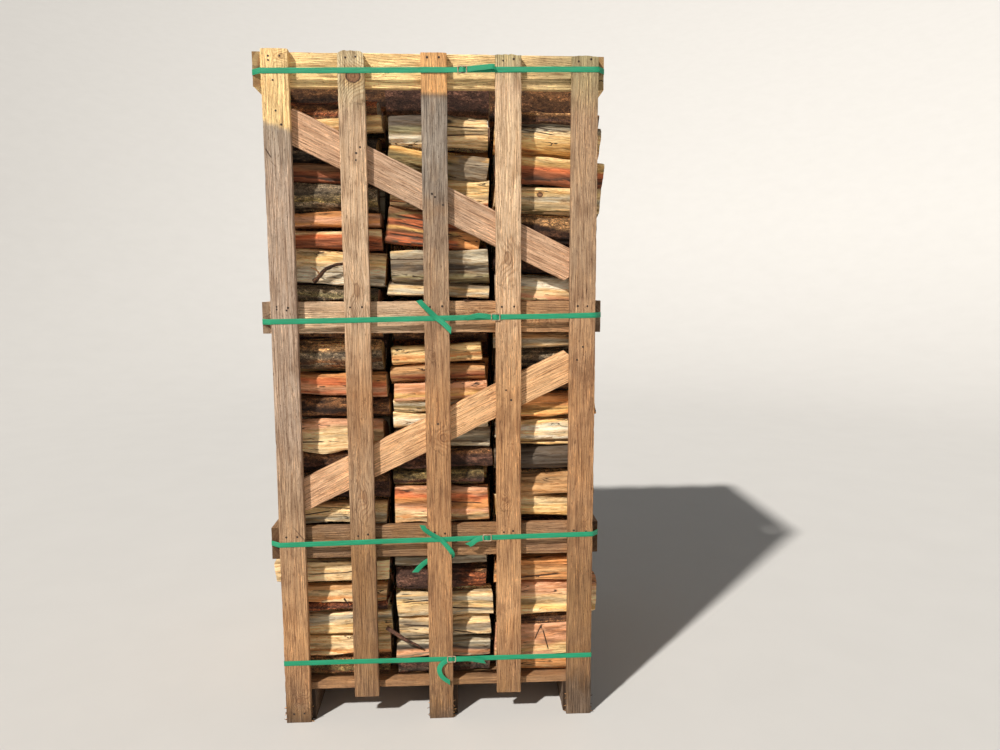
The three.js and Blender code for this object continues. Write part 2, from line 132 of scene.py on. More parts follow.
def hashed(i, j, k, seed):
    with np.errstate(over="ignore"):
        i, j, k = (np.asarray(v, np.int64).astype(np.uint64) for v in (i, j, k))
        h = i * np.uint64(374761393) + j * np.uint64(668265263) + k * np.uint64(2246822519)
        h = (h + np.uint64(seed * 3266489917)) & np.uint64(0xFFFFFFFF)
        h = ((h ^ (h >> np.uint64(15))) * np.uint64(2246822519)) & np.uint64(0xFFFFFFFF)
        h = ((h ^ (h >> np.uint64(13))) * np.uint64(3266489917)) & np.uint64(0xFFFFFFFF)
    return (h ^ (h >> np.uint64(16))).astype(float) / 4294967295.0


def noise(points, size, seed):
    """Smooth noise from -1 to 1, with features of the given size along x, y and z."""
    scaled = np.asarray(points, float) / np.asarray(size, float)
    cell = np.floor(scaled).astype(np.int64)
    part = scaled - cell
    part = part * part * (3 - 2 * part)
    value = 0.0
    for dx in (0, 1):
        for dy in (0, 1):
            for dz in (0, 1):
                corner = hashed(cell[..., 0] + dx, cell[..., 1] + dy, cell[..., 2] + dz, seed)
                weight = (part[..., 0] if dx else 1 - part[..., 0])
                weight = weight * (part[..., 1] if dy else 1 - part[..., 1])
                weight = weight * (part[..., 2] if dz else 1 - part[..., 2])
                value = value + corner * weight
    return 2 * value - 1


def wobble(values, size, seed):
    """Noise along one line."""
    values = np.asarray(values, float)
    points = np.stack([values, np.zeros_like(values), np.zeros_like(values)], -1)
    return noise(points, (size, 1, 1), seed)


# Mesh data of many small shapes, gathered into one piece
LAYERS = {"tint": 4, "grain": 3, "mark": 3, "pith": 3, "rim": 1}
LAYER_TYPES = {4: ("FLOAT_COLOR", "color"), 3: ("FLOAT_VECTOR", "vector"), 1: ("FLOAT", "value")}


class Batch:
    def __init__(self):
        self.points, self.faces, self.kinds = [], [], []
        self.layers = {name: [] for name in LAYERS}
        self.count = 0

    def add(self, points, faces, kinds, **layers):
        self.points.append(points)
        for corners, kind in zip(faces, kinds):
            self.faces.append(corners + self.count)
            self.kinds.append(np.broadcast_to(kind, len(corners)))
        for name, width in LAYERS.items():
            values = layers.get(name)
            if values is None:
                values = np.zeros((len(points), width))
            self.layers[name].append(np.asarray(values, float).reshape(len(points), width))
        self.count += len(points)


def make_piece(name, batch, materials, slot, *nodes, sharp=38):
    """One object of a batch, riding on the root body, in place of the named solids."""
    mesh = bpy.data.meshes.new(name)
    points = np.clip(to_frame(np.concatenate(batch.points)), *np.array(CAD_BOX))
    loops = np.concatenate([corners.ravel() for corners in batch.faces])
    sizes = np.concatenate([np.full(len(c), c.shape[1]) for c in batch.faces])
    mesh.vertices.add(len(points))
    mesh.vertices.foreach_set("co", points.astype(np.float32).ravel())
    mesh.loops.add(len(loops))
    mesh.loops.foreach_set("vertex_index", loops.astype(np.int32))
    mesh.polygons.add(len(sizes))
    starts = np.concatenate([[0], np.cumsum(sizes)[:-1]])
    mesh.polygons.foreach_set("loop_start", starts.astype(np.int32))
    mesh.polygons.foreach_set("material_index", np.concatenate(batch.kinds).astype(np.int32))
    for layer, width in LAYERS.items():
        kind, field = LAYER_TYPES[width]
        data = mesh.attributes.new(layer, kind, "POINT").data
        data.foreach_set(field, np.concatenate(batch.layers[layer]).astype(np.float32).ravel())
    mesh.update(calc_edges=True)
    mesh.validate()
    mesh.polygons.foreach_set("use_smooth", np.ones(len(mesh.polygons), bool))
    mesh.set_sharp_from_angle(angle=math.radians(sharp))
    for material in materials:
        mesh.materials.append(material)
    piece = bpy.data.objects.new(name, mesh)
    bpy.context.scene.collection.objects.link(piece)
    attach(piece, "root")
    if nodes:
        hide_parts(*nodes)


def opaque(colours):
    return np.concatenate([colours, np.ones((len(colours), 1))], 1)


def tube_faces(ring, stations, closed=False):
    """Quads between rings of points that follow each other along +x."""
    i = np.arange(ring)
    spans = stations if closed else stations - 1
    j = np.arange(spans)[:, None]
    here, after = j * ring, ((j + 1) % stations) * ring
    quads = np.stack([here + i, here + (i + 1) % ring, after + (i + 1) % ring, after + i], -1)
    return quads.reshape(-1, 4)


def capped_tube(ring, stations, closed):
    """A tube's faces, with a fan over each end unless the tube meets itself."""
    faces = [tube_faces(ring, stations, closed)]
    if not closed:
        i = np.arange(1, ring - 1)
        cap = np.stack([np.zeros_like(i), i + 1, i], -1)
        faces += [cap, cap[:, ::-1] + (stations - 1) * ring]
    return faces


def shrunk(ring, shares):
    """Copies of a ring drawn in towards its middle, then the middle itself."""
    middle = ring.mean(0)
    return np.concatenate([middle + (ring - middle) * share for share in shares] + [middle[None]])


def disc_faces(count, loops, flipped):
    """Faces over the points that shrunk gives."""
    around = np.arange(count)
    after = (around + 1) % count
    faces = []
    for outer in range(0, (loops - 1) * count, count):
        inner = outer + count
        faces.append(np.stack([outer + around, outer + after, inner + after, inner + around], -1))
    last = (loops - 1) * count
    faces.append(np.stack([last + around, last + after, np.full(count, last + count)], -1))
    return [corners[:, ::-1] for corners in faces] if flipped else faces


# Node materials
class Shader:
    def __init__(self, name, roughness=0.8, **settings):
        self.material = bpy.data.materials.new(name)
        self.material.use_nodes = True
        self.tree = self.material.node_tree
        self.surface = self.tree.nodes["Principled BSDF"]
        self.surface.inputs["Roughness"].default_value = roughness
        for key, value in settings.items():
            self.surface.inputs[key.replace("_", " ")].default_value = value

    def put(self, socket, value):
        if isinstance(value, bpy.types.NodeSocket):
            self.tree.links.new(value, socket)
        elif isinstance(value, (tuple, list, np.ndarray)):
            values = [float(v) for v in value]
            if len(values) == 3 and len(socket.default_value) == 4:
                values.append(1.0)
            socket.default_value = values
        else:
            socket.default_value = value

    def attribute(self, name, output="Vector"):
        node = self.tree.nodes.new("ShaderNodeAttribute")
        node.attribute_name = name
        return node.outputs[output]

    def vector_math(self, operation, *values):
        node = self.tree.nodes.new("ShaderNodeVectorMath")
        node.operation = operation
        for socket, value in zip(node.inputs, values):
            self.put(socket, value)
        return node.outputs["Value" if operation == "LENGTH" else "Vector"]

    def stretch(self, vector, scale):
        return self.vector_math("MULTIPLY", vector, scale if isinstance(scale, tuple) else (scale,) * 3)

    def offset(self, vector, other):
        return self.vector_math("ADD", vector, other)

    def length(self, vector):
        return self.vector_math("LENGTH", vector)

    def parts(self, vector):
        node = self.tree.nodes.new("ShaderNodeSeparateXYZ")
        self.put(node.inputs[0], vector)
        return node.outputs[0], node.outputs[1], node.outputs[2]

    def vector(self, x=0.0, y=0.0, z=0.0):
        node = self.tree.nodes.new("ShaderNodeCombineXYZ")
        for socket, value in zip(node.inputs, (x, y, z)):
            self.put(socket, value)
        return node.outputs[0]

    def noise(self, vector, scale, detail, roughness=0.55, output="Fac"):
        node = self.tree.nodes.new("ShaderNodeTexNoise")
        self.put(node.inputs["Vector"], self.stretch(vector, scale))
        node.inputs["Scale"].default_value = 1.0
        node.inputs["Detail"].default_value = detail
        node.inputs["Roughness"].default_value = roughness
        return node.outputs[output]

    def calc(self, operation, a, b=0.0, c=0.0):
        node = self.tree.nodes.new("ShaderNodeMath")
        node.operation = operation
        for socket, value in zip(node.inputs, (a, b, c)):
            self.put(socket, value)
        return node.outputs[0]

    def times(self, a, b, plus=0.0):
        return self.calc("MULTIPLY_ADD", a, b, plus)

    def plus(self, a, b):
        return self.calc("ADD", a, b)

    def minus(self, a, b):
        return self.calc("SUBTRACT", a, b)

    def away(self, a, b):
        """How far a is from b."""
        return self.calc("ABSOLUTE", self.minus(a, b))

    def wave(self, value, pitch):
        """A sine that repeats each pitch, from 0 to 1."""
        return self.times(self.calc("SINE", self.times(value, 2 * math.pi / pitch)), 0.5, 0.5)

    def remap(self, value, low, high, to_low=0.0, to_high=1.0):
        """to_low where the value is low, to_high where it is high, smooth between."""
        node = self.tree.nodes.new("ShaderNodeMapRange")
        node.interpolation_type = "SMOOTHSTEP"
        for socket, entry in zip(node.inputs, (value, low, high, to_low, to_high)):
            self.put(socket, entry)
        return node.outputs[0]

    def mix(self, factor, a, b, blend="MIX"):
        node = self.tree.nodes.new("ShaderNodeMix")
        node.data_type = "RGBA"
        node.blend_type = blend
        self.put(node.inputs[0], factor)
        self.put(node.inputs[6], a)
        self.put(node.inputs[7], b)
        return node.outputs[2]

    def tone(self, colour, amount):
        return self.mix(1.0, colour, amount, "MULTIPLY")

    def toned(self, colour, factor, amount):
        """The colour, times amount where factor is 1."""
        return self.mix(factor, colour, self.tone(colour, amount))

    def layers(self, colour, *layers):
        """Tones the colour by one pattern after another, each given as (pattern, where the tone
        starts, where it is full, how strong it is there, tone)."""
        for pattern, low, high, strength, amount in layers:
            colour = self.toned(colour, self.remap(pattern, low, high, 0.0, strength), amount)
        return colour

    def sum(self, *terms):
        """The sum of terms given as (value, factor)."""
        total = 0.0
        for value, factor in terms:
            total = self.times(value, factor, total)
        return total

    def bump(self, height, distance, strength=1.0):
        node = self.tree.nodes.new("ShaderNodeBump")
        node.inputs["Strength"].default_value = strength
        node.inputs["Distance"].default_value = distance
        self.put(node.inputs["Height"], height)
        return node.outputs[0]

    def finish(self, colour, normal, roughness=None):
        self.put(self.surface.inputs["Base Color"], colour)
        self.put(self.surface.inputs["Normal"], normal)
        if roughness is not None:
            self.put(self.surface.inputs["Roughness"], roughness)
        return self.material


# How far apart, in metres, growth rings lie in logs and boards, and a strap's pressed lines
LOG_RING_PITCH, BOARD_RING_PITCH, STRAP_PATTERN = 0.0036, 0.0034, 0.0032


def add_marks(shader, colour):
    """Knots and cracks. The mark layer holds the place in the nearest one, in its own radii,
    and its kind: 1 for a dark knot, 0.6 for a pale one, -1 for a crack. Returns the colour and
    the depth."""
    along, across, kind = shader.parts(shader.attribute("mark"))
    place = shader.vector(along, across, 0.0)
    wavy = shader.times(shader.noise(place, 2.2, 2), 0.35)
    far = shader.plus(shader.length(place), shader.minus(wavy, 0.17))
    is_knot = shader.calc("GREATER_THAN", kind, 0.5)
    is_crack = shader.calc("LESS_THAN", kind, -0.5)
    rings = shader.wave(far, 2 * math.pi / 15)
    is_knot = shader.times(is_knot, shader.remap(kind, 0.62, 0.95, 0.42, 1.0))
    inside = shader.times(shader.remap(far, 1.12, 0.9), is_knot)
    border = shader.times(shader.remap(shader.away(far, 1.0), 0.2, 0.02), is_knot)
    halo = shader.times(shader.remap(far, 2.6, 1.0), is_knot)
    colour = shader.toned(colour, halo, (0.86, 0.74, 0.62))
    knot = shader.mix(rings, (0.23, 0.105, 0.045), (0.33, 0.165, 0.075))
    colour = shader.mix(inside, colour, knot)
    colour = shader.mix(border, colour, (0.10, 0.045, 0.022))
    split = shader.times(shader.remap(shader.calc("ABSOLUTE", across), 1.0, 0.35),
                         shader.remap(shader.calc("ABSOLUTE", along), 1.0, 0.7))
    split = shader.times(split, is_crack)
    colour = shader.mix(split, colour, (0.070, 0.034, 0.017))
    depth = shader.plus(split, shader.times(border, 0.4))
    return colour, depth


def split_wood():
    """Torn faces of split logs: fibres and streaks along the grain, stains and drying cracks."""
    shader = Shader("split_wood", 0.72)
    grain = shader.attribute("grain")
    tint = shader.attribute("tint", "Color")
    bend = shader.stretch(shader.noise(grain, (14, 28, 28), 3, 0.55, "Color"), (0.0, 0.015, 0.015))
    flow = shader.offset(grain, bend)
    fibres = shader.noise(flow, (13, 360, 360), 4, 0.66)
    streaks = shader.noise(flow, (6, 125, 125), 4, 0.64)
    lines = shader.noise(flow, (3.2, 62, 62), 1.5, 0.45)
    stain = shader.noise(grain, (14, 40, 40), 4, 0.62)
    places = shader.noise(grain, (9, 26, 26), 3, 0.6)
    flecks = shader.noise(grain, (60, 420, 420), 4, 0.7)
    pale = shader.tone(tint, (1.36, 1.33, 1.27))
    warm = shader.tone(tint, (1.08, 0.89, 0.66))
    colour = shader.mix(shader.remap(streaks, 0.47, 0.60, 0.0, 0.9), pale, warm)
    colour = shader.layers(
        colour,
        (fibres, 0.44, 0.34, 0.8, (0.58, 0.45, 0.34)),
        (fibres, 0.55, 0.66, 0.8, (1.24, 1.22, 1.16)),
        (stain, 0.57, 0.68, 0.75, (0.66, 0.55, 0.45)),
        (flecks, 0.62, 0.70, 0.6, (0.55, 0.42, 0.32)),
    )
    gap = shader.away(lines, 0.5)
    checks = shader.times(shader.remap(gap, 0.016, 0.005), shader.remap(places, 0.52, 0.60))
    colour = shader.mix(checks, colour, (0.045, 0.022, 0.012))
    colour, depth = add_marks(shader, colour)
    height = shader.sum((fibres, 1.0), (streaks, 1.2), (flecks, 0.3), (checks, -0.8), (depth, -1.0))
    return shader.finish(colour, shader.bump(height, 0.0055, 1.0))


def bark():
    """Bark: plates between furrows along the log, with pale flakes and lichen."""
    shader = Shader("bark", 0.88)
    grain = shader.attribute("grain")
    tint = shader.attribute("tint", "Color")
    bend = shader.stretch(shader.noise(grain, (30, 60, 60), 4, 0.65, "Color"), 0.05)
    place = shader.offset(grain, bend)
    fissures = shader.noise(place, (16, 95, 95), 4, 0.72)
    furrows = shader.remap(shader.away(fissures, 0.5), 0.0, 0.035)
    flakes = shader.noise(place, (70, 210, 210), 5, 0.75)
    patches = shader.noise(grain, (14, 36, 36), 4, 0.65)
    lichen = shader.noise(grain, (150, 190, 190), 5, 0.75)
    dull, fair = shader.tone(tint, (0.85, 0.80, 0.76)), shader.tone(tint, (2.1, 2.0, 1.8))
    colour = shader.mix(shader.remap(patches, 0.40, 0.60), dull, fair)
    colour = shader.layers(
        colour,
        (flakes, 0.49, 0.38, 1.0, (0.36, 0.30, 0.26)),
        (flakes, 0.51, 0.60, 1.0, (2.5, 2.4, 2.2)),
        (lichen, 0.57, 0.64, 0.6, (2.6, 2.6, 2.2)),
    )
    shown = shader.remap(patches, 0.38, 0.60, 0.35, 1.0)
    scored = shader.calc("MAXIMUM", furrows, shader.minus(1.0, shown))
    colour = shader.mix(scored, shader.tone(colour, (0.26, 0.21, 0.18)), colour)
    colour, depth = add_marks(shader, colour)
    height = shader.sum((flakes, 1.1), (scored, 0.8), (depth, -1.0))
    return shader.finish(colour, shader.bump(height, 0.008, 1.0))


def end_grain():
    """Sawn ends of logs and boards: rings round the pith, radial cracks and saw marks."""
    shader = Shader("end_grain", 0.82)
    pith = shader.attribute("pith")
    grain = shader.attribute("grain")
    tint = shader.attribute("tint", "Color")
    seed, across, up = shader.parts(pith)
    flat = shader.vector(0.0, across, up)
    bend = shader.noise(shader.offset(flat, shader.vector(seed)), 38, 3, 0.5)
    far = shader.times(bend, 0.006, shader.length(flat))
    rings = shader.calc("SINE", shader.times(far, 2 * math.pi / LOG_RING_PITCH))
    rings = shader.remap(rings, -0.2, 1.0)
    broad = shader.noise(shader.vector(far, seed, 0.0), (130, 1, 1), 2, 0.5)
    angle = shader.calc("ARCTAN2", up, across)
    rays = shader.noise(shader.vector(angle, far, seed), (26, 30, 1), 3, 0.6)
    sway = shader.noise(shader.vector(far, seed, 0.0), (45, 1, 1), 2, 0.5)
    spin = shader.times(sway, 0.22, angle)
    spokes = shader.noise(shader.vector(spin, seed, 0.0), (2.1, 1, 1), 1, 0.5)
    aside = shader.times(shader.away(spokes, 0.5), far)
    which = shader.noise(shader.vector(spin, seed, 4.0), (0.9, 2, 1), 1, 0.5)
    cracks = shader.times(shader.remap(aside, 0.00050, 0.00014), shader.remap(which, 0.50, 0.58))
    cracks = shader.times(cracks, shader.remap(far, 0.004, 0.012))
    patches = shader.noise(grain, (60, 22, 22), 4, 0.6)
    saw = shader.noise(shader.offset(flat, shader.vector(seed, seed, 0.0)), (1, 40, 900), 2, 0.5)
    colour = shader.toned(tint, shader.remap(patches, 0.38, 0.68), (0.60, 0.55, 0.52))
    colour = shader.toned(colour, shader.times(rings, 0.55), (0.66, 0.50, 0.38))
    colour = shader.layers(
        colour,
        (broad, 0.46, 0.62, 0.8, (0.70, 0.54, 0.42)),
        (rays, 0.42, 0.72, 0.5, (0.70, 0.64, 0.58)),
        (saw, 0.5, 0.75, 0.5, (1.25, 1.2, 1.15)),
        (far, 0.030, 0.012, 0.4, (0.66, 0.46, 0.34)),
    )
    colour = shader.mix(cracks, colour, (0.03, 0.018, 0.012))
    rim = shader.attribute("rim", "Fac")
    rough = shader.noise(grain, (60, 240, 240), 4, 0.65)
    outer = shader.mix(shader.remap(rough, 0.35, 0.7), (0.030, 0.018, 0.012), (0.20, 0.125, 0.08))
    colour = shader.mix(shader.remap(rim, 0.35, 0.6), colour, outer)
    height = shader.sum((rings, 0.25), (saw, 0.8), (rays, 0.4), (cracks, -3.0))
    return shader.finish(colour, shader.bump(height, 0.0016, 1.0))


def sawn_board():
    """Rough-sawn boards: growth figure, fibres, greyed surface and saw marks. The tint layer's
    fourth value says how weathered the surface is."""
    shader = Shader("sawn_board", 0.78)
    grain = shader.attribute("grain")
    tint = shader.attribute("tint", "Color")
    weather = shader.attribute("tint", "Alpha")
    along, across, deep = shader.parts(grain)
    mark_along, mark_across, kind = shader.parts(shader.attribute("mark"))
    near = shader.length(shader.vector(mark_along, mark_across, 0.0))
    bulge = shader.times(shader.calc("POWER", 2.718, shader.times(shader.times(near, near), -0.16)),
                         shader.calc("MAXIMUM", kind, 0.0))
    drift = shader.noise(grain, (1.6, 5, 5), 2, 0.5)
    tree_across = shader.plus(across, shader.times(drift, 0.10, -0.05))
    radius = shader.length(shader.vector(0.0, tree_across, shader.plus(deep, 0.055)))
    uneven = shader.noise(grain, (9, 30, 30), 2, 0.5)
    radius = shader.sum((radius, 1.0), (along, 0.011), (bulge, 0.020), (uneven, 0.004))
    rings = shader.remap(shader.wave(radius, BOARD_RING_PITCH), 0.35, 1.0)
    fibres = shader.noise(grain, (11, 420, 420), 4, 0.62)
    streaks = shader.noise(grain, (4.5, 120, 120), 4, 0.6)
    fine = shader.noise(grain, (60, 1500, 1500), 2, 0.6)
    blotches = shader.noise(grain, (9, 16, 16), 4, 0.62)
    slanted = shader.offset(grain, shader.vector(shader.times(across, 0.35)))
    saw = shader.noise(slanted, (420, 9, 9), 2, 0.5)
    flecks = shader.noise(grain, (34, 330, 330), 4, 0.72)
    specks = shader.noise(shader.offset(grain, shader.vector(3.0, 0.0, 0.0)), (60, 300, 300), 4, 0.72)
    worn = shader.remap(shader.noise(grain, (5, 14, 14), 3, 0.6), 0.42, 0.60)
    early, late = shader.tone(tint, (1.10, 1.09, 1.08)), shader.tone(tint, (0.70, 0.56, 0.43))
    colour = shader.mix(shader.times(rings, shader.times(bulge, 0.5, 0.4)), early, late)
    colour = shader.layers(
        colour,
        (streaks, 0.50, 0.66, 0.7, (0.76, 0.68, 0.60)),
        (fibres, 0.47, 0.35, 0.95, (0.50, 0.41, 0.34)),
        (fibres, 0.52, 0.62, 0.9, (1.42, 1.40, 1.34)),
    )
    grey = shader.mix(shader.remap(fibres, 0.36, 0.62), (0.11, 0.090, 0.072), (0.46, 0.40, 0.34))
    greyed = shader.times(weather, shader.remap(blotches, 0.36, 0.62, 0.20, 1.0))
    colour = shader.mix(greyed, colour, grey)
    colour = shader.toned(colour, shader.remap(blotches, 0.50, 0.68, 0.0, 0.7), (0.66, 0.58, 0.51))
    light = shader.times(shader.remap(flecks, 0.54, 0.61), worn)
    colour = shader.toned(colour, shader.times(light, 0.8), (1.75, 1.70, 1.60))
    colour = shader.layers(
        colour,
        (specks, 0.42, 0.35, 0.8, (0.38, 0.30, 0.24)),
        (saw, 0.52, 0.70, 0.3, (1.25, 1.22, 1.18)),
    )
    colour, depth = add_marks(shader, colour)
    height = shader.sum((fibres, 1.0), (fine, 0.3), (rings, -0.25), (saw, 0.6), (flecks, 0.9),
                        (depth, -1.5))
    return shader.finish(colour, shader.bump(height, 0.0030, 1.0))


def strap_plastic():
    """Strapping with a fine pressed diamond pattern; grain holds the place along and across."""
    shader = Shader("strap_plastic", 0.42, IOR=1.5)
    grain = shader.attribute("grain")
    along, across, _ = shader.parts(grain)
    first = shader.plus(along, across)
    second = shader.minus(along, across)
    pitch = 2 * math.pi / STRAP_PATTERN
    cross = shader.times(shader.calc("SINE", shader.times(first, pitch)),
                         shader.calc("SINE", shader.times(second, pitch)))
    stretch = shader.noise(grain, (14, 700, 1), 3, 0.6)
    dust = shader.noise(grain, (22, 60, 1), 4, 0.65)
    green = shader.mix(shader.remap(stretch, 0.35, 0.7), (0.004, 0.225, 0.100), (0.010, 0.370, 0.190))
    green = shader.mix(shader.remap(dust, 0.58, 0.80, 0.0, 0.12), green, (0.18, 0.34, 0.20))
    green = shader.mix(shader.remap(cross, 0.2, 1.0, 0.0, 0.25), green, (0.02, 0.42, 0.24))
    height = shader.times(stretch, 0.5, shader.times(cross, 0.5))
    roughness = shader.remap(dust, 0.4, 0.8, 0.52, 0.70)
    return shader.finish(green, shader.bump(height, 0.0005, 0.8), roughness)


def galvanised():
    """The buckles' wire, dull and stained with rust."""
    shader = Shader("galvanised_wire", 0.5, Metallic=0.25)
    grain = shader.attribute("grain")
    spangle = shader.noise(grain, 420, 4, 0.6)
    stain = shader.noise(grain, 110, 3, 0.6)
    colour = shader.mix(spangle, (0.36, 0.25, 0.17), (0.62, 0.47, 0.34))
    colour = shader.mix(shader.remap(stain, 0.50, 0.66, 0.0, 0.8), colour, (0.26, 0.13, 0.06))
    roughness = shader.remap(stain, 0.4, 0.75, 0.35, 0.65)
    return shader.finish(colour, shader.bump(spangle, 0.0004, 0.7), roughness)


def nail_steel():
    shader = Shader("nail_steel", 0.6, Metallic=0.2)
    grain = shader.attribute("grain")
    rust = shader.noise(grain, 500, 3, 0.6)
    colour = shader.mix(shader.remap(rust, 0.4, 0.65), (0.030, 0.024, 0.020), (0.050, 0.020, 0.010))
    return shader.finish(colour, shader.bump(rust, 0.0006, 0.8), shader.remap(rust, 0.3, 0.7, 0.45, 0.8))


MATERIALS = {
    "split": split_wood(), "bark": bark(), "end": end_grain(), "board": sawn_board(),
    "strap": strap_plastic(), "wire": galvanised(), "nail": nail_steel(),
}
LOG_MATERIALS = [MATERIALS["split"], MATERIALS["bark"], MATERIALS["end"]]
SPLIT, BARK, END = 0, 1, 2

# Cross-sections of logs in a cell two units wide (front at -1) and high, as runs of split face
# or bark that follow each other counter-clockwise, and where the pith is
OUTLINES = {
    "round": [("bark", [(1, 0), (0.74, 0.70), (0, 1), (-0.70, 0.74), (-1, 0), (-0.72, -0.70),
                        (0, -1), (0.70, -0.74), (1, 0)])],
    "half": [("split", [(-1, -0.94), (1, -0.94)]),
             ("bark", [(1, -0.94), (1, -0.25), (0.84, 0.52), (0.36, 0.95), (-0.36, 0.95),
                       (-0.84, 0.52), (-1, -0.25), (-1, -0.94)])],
    "quarter": [("split", [(-0.9, 1), (-1, -1)]), ("split", [(-1, -1), (1, -0.92)]),
                ("bark", [(1, -0.92), (0.98, -0.15), (0.70, 0.60), (0.0, 0.95), (-0.9, 1)])],
    "slab": [("split", [(-0.95, 0.8), (-1, -0.94)]), ("split", [(-1, -0.94), (0.97, -1)]),
             ("split", [(0.97, -1), (1, 0.72)]),
             ("bark", [(1, 0.72), (0.5, 0.96), (-0.3, 1), (-0.95, 0.8)])],
    "wedge": [("split", [(-1, -0.98), (0.99, -0.98)]),
              ("bark", [(0.99, -0.98), (1, -0.3), (0.96, 0.3), (0.88, 0.86)]),
              ("split", [(0.88, 0.86), (-1, -0.98)])],
    "prism": [("split", [(-0.86, -0.98), (0.92, -0.62)]), ("split", [(0.92, -0.62), (0.55, 0.94)]),
              ("bark", [(0.55, 0.94), (-0.1, 1), (-0.72, 0.70), (-1, 0.05), (-0.86, -0.98)])],
}
PITHS = {"round": (0.1, -0.05), "half": (0, -0.9), "quarter": (-0.95, -0.95), "slab": (0, -2.6),
         "wedge": (-0.95, -0.95), "prism": (0.8, -0.7)}


def turned(points, turns):
    points = np.asarray(points, float)
    for _ in range(turns):
        points = np.stack([-points[..., 1], points[..., 0]], -1)
    return points


def smooth_path(points, count=12):
    """Catmull-Rom curve through the points."""
    points = np.asarray(points, float)
    padded = np.concatenate([[2 * points[0] - points[1]], points, [2 * points[-1] - points[-2]]])
    t = np.linspace(0, 1, count, endpoint=False)[:, None]
    pieces = []
    for a, b, c, d in zip(padded, padded[1:], padded[2:], padded[3:]):
        pieces.append(0.5 * (2 * b + (c - a) * t + (2 * a - 5 * b + 4 * c - d) * t ** 2
                             + (3 * b - a - 3 * c + d) * t ** 3))
    return np.concatenate(pieces + [points[-1:]])


def resampled(path, count, weigh):
    """count points along the path from its start, its end left out, denser where weigh is large."""
    steps = np.diff(path, axis=0)
    middle = (path[:-1] + path[1:]) / 2
    reach = np.linalg.norm(steps, axis=1) * weigh(middle)
    total = np.concatenate([[0], np.cumsum(reach)])
    wanted = np.linspace(0, total[-1], count, endpoint=False)
    return np.stack([np.interp(wanted, total, path[:, axis]) for axis in (0, 1)], -1)


def section(shape, turns, half, count, focus):
    """Ring of points in y and z round a log, the kind of surface after each, and the pith.
    focus is the direction that shows and gets most of the points."""
    half = np.asarray(half, float)

    def weigh(points):
        if focus is None:
            return np.ones(len(points))
        return np.where((points / half) @ np.asarray(focus, float) > 0.15, 1.0, 0.28)

    runs = []
    for kind, corners in OUTLINES[shape]:
        corners = turned(corners, turns)
        path = smooth_path(corners) if kind == "bark" else np.linspace(*corners, 20)
        path = path * half
        steps = np.linalg.norm(np.diff(path, axis=0), axis=1)
        runs.append((kind, path, (steps * weigh((path[:-1] + path[1:]) / 2)).sum()))
    total = sum(cost for _, _, cost in runs)
    points, kinds = [], []
    for kind, path, cost in runs:
        share = max(3, round(count * cost / total))
        points.append(resampled(path, share, weigh))
        kinds += [BARK if kind == "bark" else SPLIT] * share
    return np.concatenate(points), np.array(kinds), turned(PITHS[shape], turns) * half


def terraced(values):
    """Steps with steep rises, as where fibres tore off in layers."""
    whole = np.floor(values)
    return whole + np.clip((values - whole - 0.5) * 4 + 0.5, 0, 1)


def split_relief(points, seed):
    broad = noise(points, (150, 46, 46), seed)
    layers = terraced(1.7 * noise(points, (190, 24, 24), seed + 1))
    flakes = terraced(1.8 * noise(points, (60, 10, 10), seed + 2))
    fibres = noise(points, (60, 3.5, 3.5), seed + 3)
    return 3.4 * broad + 3.0 * layers + 0.9 * flakes + 0.5 * fibres


def bark_relief(points, seed):
    lumps = noise(points, (85, 36, 36), seed)
    ridges = 1 - 2 * np.abs(noise(points, (70, 12, 12), seed + 1))
    crumbs = noise(points, (17, 8, 8), seed + 2)
    flakes = terraced(1.8 * noise(points, (55, 14, 14), seed + 3))
    return 2.2 * lumps + 1.6 * ridges + 0.9 * crumbs + 1.2 * flakes, ridges


def blend_colours(names, share):
    """Colour at a share of the way through the named ones, with fairly crisp borders."""
    table = np.array([linear(name) for name in names])
    if len(names) == 1:
        return np.repeat(table, len(share), 0)
    place = np.clip(share, 0, 0.9999) * len(names) - 0.5
    lower = np.clip(np.floor(place).astype(int), 0, len(names) - 1)
    upper = np.clip(lower + 1, 0, len(names) - 1)
    part = np.clip((place - np.floor(place) - 0.5) * 1.8 + 0.5, 0, 1)[:, None]
    return table[lower] * (1 - part) + table[upper] * part


def log_colours(points, kinds, log, ridges):
    seed = log["seed"]
    height = (points[:, 2] - log["bottom"]) / (log["top"] - log["bottom"])
    height = height + 0.20 * noise(points, (140, 34, 34), seed + 11)
    height = height + 0.08 * noise(points, (45, 8, 8), seed + 12)
    colours = blend_colours(log["colours"], height)
    inner = blend_colours(log["split"], height)
    wanted = kinds if log["faces"] == "bark" else 1 - kinds
    if log["front_look"]:
        to_front = points[:, 1] < (log["front"] + log["back"]) / 2 + 8
        wanted = np.maximum(wanted, to_front)
    other = inner if log["faces"] == "bark" else blend_colours(log["rind"], height)
    colours = np.where(wanted[:, None] > 0.5, colours, other)
    streak = noise(points, (150, 5, 5), seed + 13)
    patch = noise(points, (50, 22, 22), seed + 14)
    light = 1 + 0.10 * streak + 0.12 * patch
    light = np.where(kinds == BARK, light * (0.78 + 0.34 * ridges), light)
    colours = colours * light[:, None]
    for x, z, reach_x, reach_z, name in log["patches"]:
        far = np.hypot((points[:, 0] - x) / reach_x, (points[:, 2] - z) / reach_z)
        share = np.clip((1.15 - far - 0.3 * noise(points, (25, 8, 8), seed + 15)) * 3, 0, 1)[:, None]
        colours = colours * (1 - share) + linear(name) * light[:, None] * share
    return np.clip(colours, 0.002, 0.9)


# How many of its own radii a knot or crack reaches
MARK_REACH = 5.0


